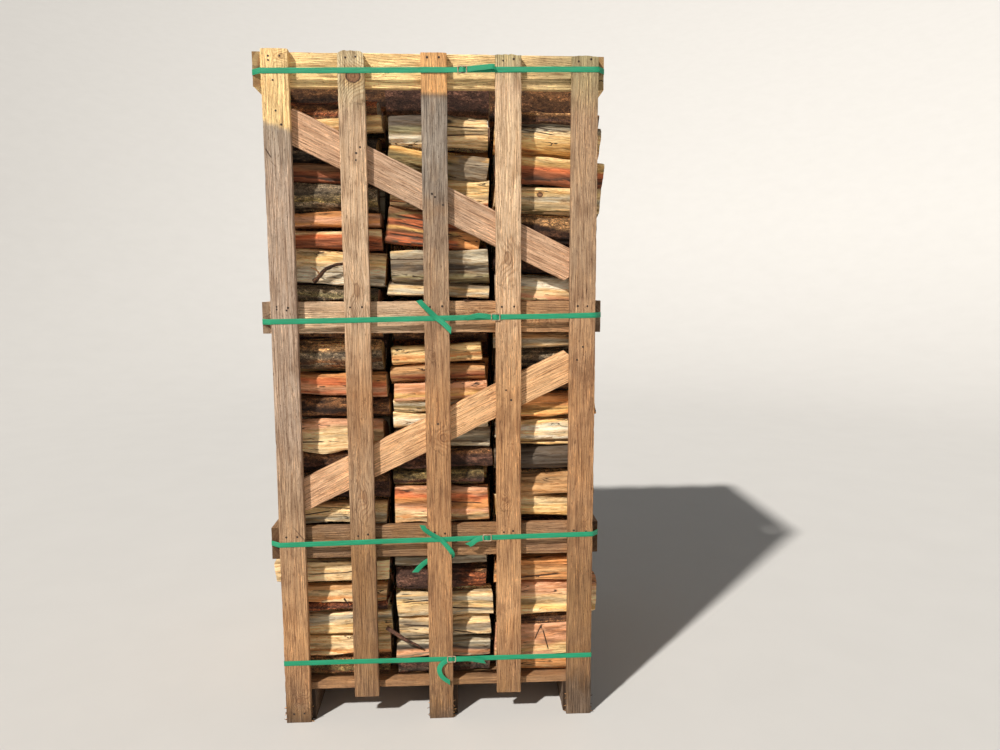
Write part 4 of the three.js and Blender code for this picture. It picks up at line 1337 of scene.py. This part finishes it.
# Slats of a panel: width, bottom, top, how much its top corners are cut, how the borders of its
# colours lean, how far its top is broken, its colours as (height, colour, weathering), and its
# marks as (x from the middle, height, half length, half width, angle, kind)
SLATS = [
    {"width": 78, "bottom": 0, "top": 2067, "corner": 2, "lean": 0.33, "broken": 0.0, "looks": [
        (0, "soot", 0.2), (60, "walnut", 0.2), (160, "nut", 0.1), (300, "honey", 0.05),
        (700, "clay", 0.1), (1000, "ash", 0.1), (1700, "ash", 0.35), (1846, "greyboard", 0.4),
        (1860, "fresh", 0.05), (2067, "fresh", 0.1)],
     "marks": [(20, 2046, 9, 7, 0, 0.6), (5, 74, 12, 9, 0, 0.6), (-27, 1775, 16, 1.6, 60, -1),
               (10, 20, 26, 1.5, 92, -1), (6, 648, 34, 1.1, 52, -1)]},
    {"width": 77, "bottom": 82, "top": 2064, "corner": 13, "lean": 0.0, "broken": 4.4, "looks": [
        (82, "walnut", 0.15), (560, "walnut", 0.1), (760, "clay", 0.1), (1060, "nut", 0.1),
        (1330, "sand", 0.15), (1650, "sand", 0.1), (1880, "sand", 0.2), (1970, "bleached", 0.2),
        (2064, "bleached", 0.2)],
     "marks": [(6, 1993, 20, 17, 0, 1), (9, 740, 20, 7, 85, 0.6), (1, 1377, 20, 8, 88, 0.6)]},
    {"width": 76, "bottom": 0, "top": 2061, "corner": 2, "lean": 0.0, "broken": 0.0, "looks": [
        (0, "soot", 0.2), (70, "walnut", 0.15), (420, "nut", 0.05), (1060, "nut", 0.05),
        (1400, "clay", 0.2), (1600, "clay", 0.5), (1720, "slateboard", 0.8),
        (1925, "slateboard", 0.85), (1942, "darkboard", 0.3), (1950, "freshorange", 0.0),
        (2061, "freshorange", 0.0)],
     "marks": [(14, 923, 11, 8, 80, 0.6), (-12, 1180, 6, 4, 80, 0.6)]},
    {"width": 77, "bottom": 82, "top": 2061, "corner": 2, "lean": 0.0, "broken": 4.4, "looks": [
        (82, "walnut", 0.15), (250, "nut", 0.1), (420, "honey", 0.1), (770, "nut", 0.05),
        (1060, "honey", 0.05), (1500, "sand", 0.1), (1850, "creamboard", 0.05),
        (1970, "sand", 0.15), (2061, "moss", 0.15)],
     "marks": [(-2, 1472, 19, 11, 88, 0.6), (-6, 722, 9, 6, 80, 0.6)]},
    {"width": 79, "bottom": 0, "top": 2058, "corner": 2, "lean": 0.0, "broken": 4.4, "looks": [
        (0, "soot", 0.3), (100, "soot", 0.2), (170, "walnut", 0.1), (420, "walnut", 0.05),
        (760, "nut", 0.1), (1060, "nut", 0.1), (1500, "clay", 0.15), (1880, "clay", 0.1),
        (2058, "moss", 0.2)],
     "marks": [(12, 640, 9, 6, 85, 0.6)]},
]
RAIL_LOOKS = [
    [(0, "walnut", 0.3), (500, "walnut", 0.15), (1000, "nut", 0.25)],
    [(0, "sand", 0.1), (400, "sand", 0.05), (700, "honey", 0.1), (1000, "nut", 0.15)],
    [(0, "fresh", 0.0), (480, "fresh", 0.05), (800, "fresh", 0.25), (1000, "moss", 0.2)],
]
UPPER_BRACE_LOOKS = [(0, "redboard", 0.0), (450, "pinkboard", 0.05), (1100, "redboard", 0.05)]
LOWER_BRACE_LOOKS = [(0, "redboard", 0.0), (450, "orangeboard", 0.0), (1100, "orangeboard", 0.0)]
LAYOUT_SHIFT = SHIFT / MM


def layout_box(node):
    """A node's box in the crate's own layout, in millimetres."""
    low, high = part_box(node)
    return np.array(low) / MM - LAYOUT_SHIFT, np.array(high) / MM - LAYOUT_SHIFT


def panel_slat(face, number):
    name = f"{face}_slat_{number + 1}"
    low, high = layout_box(name)
    entry = SLATS[number]
    middle = (low + high) / 2
    sign = 1 if face == "front" else -1
    seed = 300 + 10 * number + (100 if face == "back" else 0)
    looks = [(place - entry["bottom"], colour, weather) for place, colour, weather in entry["looks"]]
    marks = [(z - entry["bottom"], x, length, width, angle - 90, kind)
             for x, z, length, width, angle, kind in entry["marks"]]
    batch = Batch()
    board(batch, (middle[0], middle[1], low[2]), (middle[0], middle[1], high[2]),
          entry["width"], high[1] - low[1], (sign, 0, 0), seed, looks, marks,
          step=12 if face == "front" else 18, across=9 if face == "front" else 7,
          corner=entry["corner"], lean=entry["lean"], mottle=5.0, broken=entry["broken"])
    make_piece(f"sawn_{name}", batch, BOARD_MATERIALS, "slat_wood", name)


def level_board(name, slot, looks, seed, outward, step=16):
    """A board that lies level: a rail, or a deck board. outward is its showing face."""
    low, high = layout_box(name)
    size = high - low
    long_axis = int(np.argmax(size))
    out = np.asarray(outward, float)
    out_axis = int(np.argmax(np.abs(out)))
    side_axis = 3 - long_axis - out_axis
    start, end = (low + high) / 2, (low + high) / 2
    start[long_axis], end[long_axis] = low[long_axis], high[long_axis]
    run = np.zeros(3)
    run[long_axis] = 1
    side = np.cross(out, run)
    batch = Batch()
    scaled = [(place / 1000 * size[long_axis], colour, weather) for place, colour, weather in looks]
    board(batch, start, end, size[side_axis], size[out_axis], side, seed, scaled, rail_marks(seed),
          step=step, across=7)
    make_piece(f"sawn_{name}", batch, BOARD_MATERIALS, slot, name)


def rail_marks(seed):
    marks = []
    for k in range(2):
        size = 6 + 7 * chance(seed, k, 3)
        marks.append((120 + 760 * chance(seed, k, 1), 60 * (chance(seed, k, 2) - 0.5), size,
                      size * 0.7, 0, 0.6))
    return marks


def sloping_brace(face, which, seed):
    looks = LOWER_BRACE_LOOKS if which == "lower" else UPPER_BRACE_LOOKS
    name = f"{face}_brace_{which}"
    points = np.array([v.co[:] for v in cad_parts[name].data.vertices]) / MM - LAYOUT_SHIFT
    low, high = points.min(0), points.max(0)
    ends = []
    for x in (low[0], high[0]):
        heights = points[np.abs(points[:, 0] - x) < 1, 2]
        ends.append((heights.min(), heights.max()))
    (low_a, high_a), (low_b, high_b) = ends
    middle_y = (low[1] + high[1]) / 2
    start = np.array([low[0], middle_y, (low_a + high_a) / 2])
    end = np.array([high[0], middle_y, (low_b + high_b) / 2])
    run = (end - start) / np.linalg.norm(end - start)
    facing = np.array([0, -1 if face == "front" else 1, 0])
    side = np.cross(facing, run)
    width = (high_a - low_a) * run[0]
    slant = -run[2] / run[0] * (1 if face == "front" else -1)
    batch = Batch()
    board(batch, start, end, width, high[1] - low[1], side, seed, looks,
          step=14, across=8, bevel=slant)
    make_piece(f"sawn_{name}", batch, BOARD_MATERIALS, "brace_wood", name)


for face_name, facing_y in (("front", -1), ("back", 1)):
    for slat_number in range(5):
        panel_slat(face_name, slat_number)
    for rail_number in range(3):
        level_board(f"{face_name}_rail_{rail_number + 1}", "rail_wood", RAIL_LOOKS[rail_number],
                    520 + 11 * rail_number + facing_y, (0, facing_y, 0))
    for brace_number, brace_name in enumerate(("lower", "upper")):
        sloping_brace(face_name, brace_name, 610 + 13 * brace_number + facing_y)
for side_name, facing_x in (("left", -1), ("right", 1)):
    for rail_number in range(3):
        level_board(f"{side_name}_rail_{rail_number + 1}", "rail_wood", RAIL_LOOKS[rail_number],
                    700 + 17 * rail_number + facing_x, (facing_x, 0, 0))
DECK_LOOKS = [(0, "walnut", 0.15), (250, "nut", 0.1), (600, "walnut", 0.1), (1000, "nut", 0.2)]
for deck_number in range(7):
    level_board(f"deck_board_{deck_number + 1}", "deck_wood", DECK_LOOKS, 800 + 7 * deck_number,
                (0, 0, 1))
# Partly the runners' own dirt and partly painted shade: their dark colours stand in for the shade beneath
# the deck and behind the slats.
RUNNER_LOOKS = [(0, "soot", 0.25), (400, "darkboard", 0.3), (1000, "soot", 0.25)]


def runner(number):
    name = f"runner_{number + 1}"
    low, high = layout_box(name)
    middle = (low + high) / 2
    batch = Batch()
    board(batch, (middle[0], low[1], middle[2]), (middle[0], high[1], middle[2]),
          high[0] - low[0], high[2] - low[2], (1, 0, 0), 900 + number * 9, RUNNER_LOOKS,
          rail_marks(900 + number), step=16, wear=1.3)
    make_piece(f"sawn_{name}", batch, BOARD_MATERIALS, "runner_wood", name)


for runner_number in range(3):
    runner(runner_number)


# Straps, with their loose ends, and the wire buckles
STRAP_WIDTH, STRAP_THICK = 16.0, 0.9
STRAP_OUT = GAP + 0.5
STRAP_STEP = 14.0
WIRE_SIDES = 8
CUT_SLANTS = (-0.5, 0.8)
# Over a buckle a strap rises: distances along it, and in front of the slats
BUCKLE_HUMP = [(-14, 1.2), (-8, 2.0), (-4, 4.6), (0, 5.4), (4, 4.6), (8, 2.0), (14, 1.2)]
STRAPS = [
    {"left": 202, "right": 202, "buckle": 44},
    {"left": 591, "right": 607, "buckle": 160},
    {"left": 1283, "right": 1299, "buckle": 189},
    {"left": 2005, "right": 2020, "buckle": 94},
]
# Loose ends: points as [x, height above the strap, distance in front of the slats]
TAILS = [
    [[(50, 0, 2.2), (72, -1, 4), (96, 1, 8), (124, -3, 9), (150, -9, 6)],
     [(30, -4, 2.4), (14, -14, 5), (5, -28, 8), (8, -46, 10), (20, -62, 10), (38, -76, 8)]],
    [[(148, 0, 2.4), (126, -4, 6), (112, -14, 8), (100, -20, 6)],
     [(-42, 52, 13), (-34, 36, 10), (-12, 18, 6), (12, 2, 4), (32, -20, 5), (46, -38, 6), (50, -50, 2),
      (46, -60, -10), (30, -68, -24), (2, -72, -25), (-30, -78, -22), (-52, -92, -14), (-68, -108, -8)]],
    [[(178, 0, 2.4), (158, 4, 7), (136, 6, 8), (114, 2, 5), (96, -2, 2.4)],
     [(-42, 56, 12), (-30, 42, 11), (-10, 22, 7), (8, 4, 4), (30, -14, 6), (54, -38, 9)]],
    [[(106, 0, 2.4), (130, 3, 5), (156, 5, 7), (180, 7, 8), (190, 6, 5)],
     [(-34, -1, 3), (-10, 0, 2.2), (30, 0, 2.0), (62, 0, 2.0), (84, 0, 2.4)]],
]
SLAT_LEFT = layout_box("front_slat_1")[0][0]
SLAT_RIGHT = layout_box("front_slat_5")[1][0]
BACK_LEFT = layout_box("back_slat_5")[0][0]
BACK_RIGHT = layout_box("back_slat_1")[1][0]
RAIL_LEFT = layout_box("left_rail_2")[0][0]
RAIL_RIGHT = layout_box("right_rail_2")[1][0]
RAIL_FRONT, RAIL_REAR = layout_box("right_rail_2")[0][1], layout_box("right_rail_2")[1][1]
BACK = layout_box("back_slat_1")[1][1]


def strap_height(number, x):
    entry = STRAPS[number]
    share = (x - SLAT_XS[0]) / (SLAT_XS[4] - SLAT_XS[0])
    return entry["left"] + (entry["right"] - entry["left"]) * share


def strap_corners(number):
    """The strap's way round the crate, seen from above, starting at the front on the left.
    The lowest strap passes the slats' edges, the others the side rails."""
    c = STRAP_OUT
    left, right = STRAPS[number]["left"], STRAPS[number]["right"]
    if number == 0:
        right_side = [(SLAT_RIGHT + c, FRONT, right), (BACK_RIGHT + c, BACK, right)]
        left_side = [(BACK_LEFT - c, BACK, left), (SLAT_LEFT - c, FRONT, left)]
    else:
        right_side = [(RAIL_RIGHT + c, y, right) for y in (RAIL_FRONT - c, RAIL_REAR + c)]
        left_side = [(RAIL_LEFT - c, y, left) for y in (RAIL_REAR + c, RAIL_FRONT - c)]
    return np.array([(SLAT_LEFT, FRONT - c, left), (SLAT_RIGHT, FRONT - c, right), *right_side,
                     (BACK_RIGHT, BACK + c, right), (BACK_LEFT, BACK + c, left), *left_side])


def densified(corners, step):
    """Points about a step apart round a loop's straight runs, with one each side of every corner."""
    points = []
    for a, b in zip(corners, np.roll(corners, -1, 0)):
        length = np.linalg.norm(b - a)
        near = min(1.5 / length, 0.2)
        count = max(1, int(length / step))
        shares = np.concatenate([[near], np.linspace(near, 1 - near, count + 1)[1:]])
        points.append(a + shares[:, None] * (b - a))
    return np.concatenate(points)


def run_along(path, closed):
    """The direction of travel at each point of a path."""
    ahead = np.roll(path, -1, 0) - path
    behind = path - np.roll(path, 1, 0)
    if not closed:
        ahead[-1], behind[0] = behind[-1], ahead[0]
    run = ahead + behind
    return run / np.linalg.norm(run, axis=1)[:, None]


def ribbon(batch, path, across, closed=False):
    """A flat strap along a path. across is the direction of its width at each point; the ends
    of an open one are cut on the slant."""
    count = len(path)
    run = run_along(path, closed)
    across = across - (across * run).sum(1)[:, None] * run
    across /= np.linalg.norm(across, axis=1)[:, None]
    out = np.cross(run, across)
    w, t = STRAP_WIDTH / 2, STRAP_THICK / 2
    half = [(-w, -t * 0.4), (-w * 0.93, -t), (-w * 0.3, -t), (w * 0.3, -t), (w * 0.93, -t), (w, -t * 0.4)]
    ring = np.array(half + [(b, -c) for b, c in half[::-1]])
    slip = np.zeros(count)
    if not closed:
        slip[0], slip[-1] = CUT_SLANTS
    points = (path[:, None] + ring[None, :, :1] * across[:, None] + ring[None, :, 1:] * out[:, None]
              + (slip[:, None] * ring[None, :, 0])[..., None] * run[:, None])
    steps = np.linalg.norm(np.diff(path, axis=0), axis=1)
    travel = np.concatenate([[0], np.cumsum(steps)])
    grain = np.stack([np.repeat(travel[:, None], len(ring), 1),
                      np.repeat(ring[None, :, 0], count, 0), np.zeros((count, len(ring)))], -1)
    faces = capped_tube(len(ring), count, closed)
    batch.add(points.reshape(-1, 3), faces, [0] * len(faces), grain=grain.reshape(-1, 3) * MM)


def strap_tail(batch, number, route):
    route = np.array([(x, FRONT - proud, strap_height(number, x) + rise) for x, rise, proud in route])
    path = smooth_path(route, 5)
    run = np.gradient(path, axis=0)
    across = np.stack([run[:, 2], np.zeros(len(run)), -run[:, 0]], -1)
    lean = 0.25 * np.sin(np.linspace(0, 2.4, len(run)) + number)
    across[:, 1] = lean * np.linalg.norm(across, axis=1)
    ribbon(batch, path, across)


def strap(number):
    batch = Batch()
    path = densified(strap_corners(number), STRAP_STEP)
    path[:, 2] += 0.7 * wobble(np.arange(len(path)) * STRAP_STEP, 170, 40 + number)
    ribbon(batch, path, np.tile([0.0, 0.0, 1.0], (len(path), 1)), closed=True)
    x = STRAPS[number]["buckle"]
    for route in [*TAILS[number], [(x + dx, 0, proud) for dx, proud in BUCKLE_HUMP]]:
        strap_tail(batch, number, route)
    make_piece(f"plastic_strap_{number + 1}", batch, [MATERIALS["strap"]], "strap",
               f"strap_{number + 1}", sharp=50)


def wire(batch, path, radius, closed=False, colour=None):
    """A round wire or twig along a path."""
    path = np.asarray(path, float)
    run = run_along(path, closed)
    first = np.cross(run, (0.05, 1.0, 0.08))
    first /= np.linalg.norm(first, axis=1)[:, None]
    second = np.cross(run, first)
    radii = np.broadcast_to(radius, len(path))[:, None, None]
    angles = np.linspace(0, 2 * math.pi, WIRE_SIDES, endpoint=False)[None, :, None]
    rings = (np.cos(angles) * first[:, None] + np.sin(angles) * second[:, None]) * radii
    points = (path[:, None] + rings).reshape(-1, 3)
    faces = capped_tube(WIRE_SIDES, len(path), closed)
    tint = None if colour is None else np.tile([*linear(colour), 1.0], (len(points), 1))
    batch.add(points, faces, [0] * len(faces), grain=points * MM, tint=tint)


def buckle(number):
    """One wire bent to a frame, its two ends meeting at the bar across the middle."""
    batch = Batch()
    x = STRAPS[number]["buckle"]
    centre = np.array([x, FRONT - 3.2, strap_height(number, x)])
    w, h, r = 12.7, 9.7, 3.2
    corner = np.radians(np.linspace(0, 90, 5))
    arc = np.stack([np.cos(corner), np.zeros(5), np.sin(corner)], -1) * r
    loop = []
    for sx, sz, turn in ((1, 1, 0), (-1, 1, 1), (-1, -1, 2), (1, -1, 3)):
        angle = turn * math.pi / 2
        spun = np.stack([arc[:, 0] * math.cos(angle) - arc[:, 2] * math.sin(angle), arc[:, 1],
                         arc[:, 0] * math.sin(angle) + arc[:, 2] * math.cos(angle)], -1)
        loop.append(spun + np.array([sx * (w - r), 0, sz * (h - r)]))
    wire(batch, centre + np.concatenate(loop), 1.5, closed=True)
    bar = np.array([(-1.5, 0.4, -9.7), (-1.2, 0.2, -5), (-1.2, 0, 0), (-1.2, 0.2, 5), (-1.5, 0.4, 9.7)])
    wire(batch, centre + bar, 1.6)
    wire(batch, centre + bar * (-1, 1, 1), 1.6)
    make_piece(f"wire_buckle_{number + 1}", batch, [MATERIALS["wire"]], "buckle_wire",
               f"buckle_{number + 1}", sharp=60)


for strap_number in range(4):
    strap(strap_number)
    buckle(strap_number)

# Nails: some are seen one by one, [x, z], and each slat is nailed to each rail
SEEN_NAILS = [
    (-463, 2034), (-452, 1979), (-447, 1894), (-432, 1855), (-466, 1320), (-437, 1317),
    (-461, 30), (-428, 31), (-207, 1793), (-219, 1776), (-220, 1756), (1, 1660), (10, 1651),
    (33, 1628), (10, 967), (220, 1070), (236, 1039), (439, 1162), (457, 1202),
]
NAIL_SIDES = 10


def nail(batch, x, y, z, facing):
    angles = np.linspace(0, 2 * math.pi, NAIL_SIDES, endpoint=False)
    circle = np.stack([np.cos(angles), np.zeros(NAIL_SIDES), np.sin(angles)], -1)
    radius = 2.7 + 0.8 * chance(int(abs(x)), int(z))
    rings = [circle * radius, circle * radius + (0, 0.5 * facing, 0),
             circle * radius * 0.6 + (0, 0.9 * facing, 0)]
    points = np.concatenate(rings + [[(0, 0.75 * facing, 0)]]) + (x, y, z)
    faces = disc_faces(NAIL_SIDES, len(rings), facing > 0)
    batch.add(points, faces, [0] * len(faces), grain=points * MM)


def all_nails():
    batch = Batch()
    for face, facing, y in (("front", -1, FRONT), ("back", 1, BACK)):
        for number in range(5):
            low, high = layout_box(f"{face}_slat_{number + 1}")
            for level, (bottom, top) in enumerate(RAILS):
                for k in range(2):
                    draw = chance(number, level, k, facing + 1)
                    x = low[0] + (0.27 + 0.42 * k) * (high[0] - low[0]) + 6 * (draw - 0.5)
                    z = (bottom + top) / 2 + 26 + 8 * chance(number, level, k, 7)
                    nail(batch, x, y + 0.2 * facing, z, facing)
    for x, z in SEEN_NAILS:
        nail(batch, x, FRONT - 0.2, z, -1)
    make_piece("nails", batch, [MATERIALS["nail"]], "buckle_wire", sharp=30)


all_nails()

# Sticks and twigs lying on the logs at the front: points as [x, depth, z], then the radii of
# the two ends
STICKS = [
    ([(-362, -470, 1404), (-345, -476, 1418), (-322, -478, 1440), (-296, -477, 1452),
      (-266, -474, 1458)], 7, 4),
    ([(-340, -476, 1420), (-352, -479, 1436), (-368, -478, 1446)], 3.5, 1.5),
    ([(-166, -472, 292), (-140, -477, 276), (-108, -478, 254), (-76, -476, 236),
      (-58, -472, 222)], 8, 3),
    ([(-300, -470, 392), (-290, -476, 380), (-282, -474, 364)], 3, 1.2),
    ([(-290, -475, 381), (-278, -477, 384), (-266, -475, 380)], 2, 0.8),
    ([(92, -494, 1346), (104, -495, 1344), (118, -494, 1347)], 1.6, 0.8),
    ([(98, -494, 1343), (105, -495, 1350), (108, -494, 1358)], 1.4, 0.7),
    ([(190, -470, 1902), (196, -478, 1890), (204, -479, 1868), (201, -476, 1846)], 4, 2),
    ([(262, -470, 1908), (282, -478, 1903), (310, -479, 1906), (342, -476, 1898),
      (372, -474, 1902)], 3.5, 1.5),
    ([(-480, -468, 352), (-452, -476, 349), (-430, -474, 341)], 5, 2),
]


def bark_sticks():
    batch = Batch()
    for number, (points, thick, thin) in enumerate(STICKS):
        path = smooth_path(points, 7)
        path += 1.2 * np.stack([wobble(path[:, 0], 9, 70 + number), np.zeros(len(path)),
                                wobble(path[:, 0] + path[:, 2], 11, 90 + number)], -1)
        radii = np.linspace(thick, thin, len(path)) * (1 + 0.15 * wobble(path[:, 0], 12, number))
        wire(batch, path, radii, colour=pick(["brown", "darkbrown", "purple"], chance(number, 2)))
    make_piece("sticks", batch, [MATERIALS["bark"]], "split_logs", sharp=60)


bark_sticks()

# Slats that stand on the ground, whose feet are frayed
FEET = (0, 2, 4)
SLIVERS = 16


def foot_slivers():
    """Torn fibres and bits of bark at the slats' feet."""
    batch = Batch()
    for number in FEET:
        low, high = layout_box(f"front_slat_{number + 1}")
        for sliver in range(SLIVERS):
            draw = [chance(number, sliver, k, 17) for k in range(6)]
            sign = -1 if draw[0] < 0.5 else 1
            edge = low[0] if sign < 0 else high[0]
            z = 3 + 62 * draw[1] ** 2
            y = low[1] + 2 + 16 * draw[2]
            reach = (3 + 7 * draw[3]) * sign
            route = [(edge - 4 * sign, y, z), (edge + 0.4 * reach, y - 1.5, z + 4 * (draw[4] - 0.3)),
                     (edge + reach, y - 2, max(1.0, z + 12 * (draw[4] - 0.5)))]
            wire(batch, smooth_path(route, 4), np.linspace(1.2 + 1.4 * draw[5], 0.5, 9),
                 colour=pick(["brown", "darkbrown", "tan"], draw[5]))
    make_piece("foot_slivers", batch, [MATERIALS["bark"]], "slat_wood", sharp=60)


foot_slivers()


# Floor and light, in metres
FLOOR_FLAT, FLOOR_BEND, FLOOR_REACH = 6.0, 14.0, 31.0
FLOOR_SLOPE = 0.7
FLOOR_SIDES, FLOOR_RINGS = 64, 30
SUN_DIRECTION = (0.48, 0.55, -0.68)
SUN_STRENGTH, SUN_WIDTH = 4.45, 2.5
SUN_COLOUR = (1.0, 0.95, 0.88)
SKY_COLOUR, SKY_STRENGTH = (0.93, 0.96, 1.0, 1.0), 0.09


def floor_height(radius):
    bend = np.clip(radius - FLOOR_FLAT, 0, FLOOR_BEND - FLOOR_FLAT)
    rise = FLOOR_SLOPE * bend ** 2 / (2 * (FLOOR_BEND - FLOOR_FLAT))
    return rise + FLOOR_SLOPE * np.clip(radius - FLOOR_BEND, 0, None)


def add_floor():
    """A wide pale dish: level under the crate, rising gently all round to be the backdrop."""
    shader = Shader("pale_floor", 0.8)
    texture = shader.tree.nodes.new("ShaderNodeTexCoord")
    cloud = shader.noise(texture.outputs["Object"], 3.0, 5, 0.6)
    speck = shader.noise(texture.outputs["Object"], 260.0, 2, 0.5)
    colour = shader.mix(cloud, (0.605, 0.60, 0.59), (0.65, 0.645, 0.635))
    shader.finish(colour, shader.bump(speck, 0.0004, 0.4))
    angles = np.linspace(0, 2 * math.pi, FLOOR_SIDES, endpoint=False)
    circle = np.stack([np.cos(angles), np.sin(angles)], -1)
    radii = np.linspace(FLOOR_FLAT, FLOOR_REACH, FLOOR_RINGS)
    heights = np.repeat(floor_height(radii), FLOOR_SIDES)[:, None]
    points = np.concatenate([(radii[:, None, None] * circle).reshape(-1, 2), heights], -1)
    quads = tube_faces(FLOOR_SIDES, FLOOR_RINGS)[:, ::-1]
    mesh = bpy.data.meshes.new("floor")
    mesh.from_pydata(points.tolist(), [], [list(range(FLOOR_SIDES)), *quads.tolist()])
    mesh.polygons.foreach_set("use_smooth", [True] * len(mesh.polygons))
    mesh.materials.append(shader.material)
    floor = bpy.data.objects.new("floor", mesh)
    bpy.context.scene.collection.objects.link(floor)
    floor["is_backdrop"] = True


def add_sun():
    data = bpy.data.lights.new("key", "SUN")
    data.energy = SUN_STRENGTH
    data.angle = math.radians(SUN_WIDTH)
    data.color = SUN_COLOUR
    light = bpy.data.objects.new("key", data)
    bpy.context.scene.collection.objects.link(light)
    light.rotation_euler = Vector(SUN_DIRECTION).to_track_quat("-Z", "Y").to_euler()


def add_sky():
    world = bpy.data.worlds.new("studio")
    world.use_nodes = True
    background = world.node_tree.nodes["Background"]
    background.inputs["Color"].default_value = SKY_COLOUR
    background.inputs["Strength"].default_value = SKY_STRENGTH
    bpy.context.scene.world = world


add_floor()
add_sun()
add_sky()
bpy.context.scene.view_settings.view_transform = "Standard"

[[[float(v) for v in corner] for corner in box] for box in (CAD_BOX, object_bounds())]
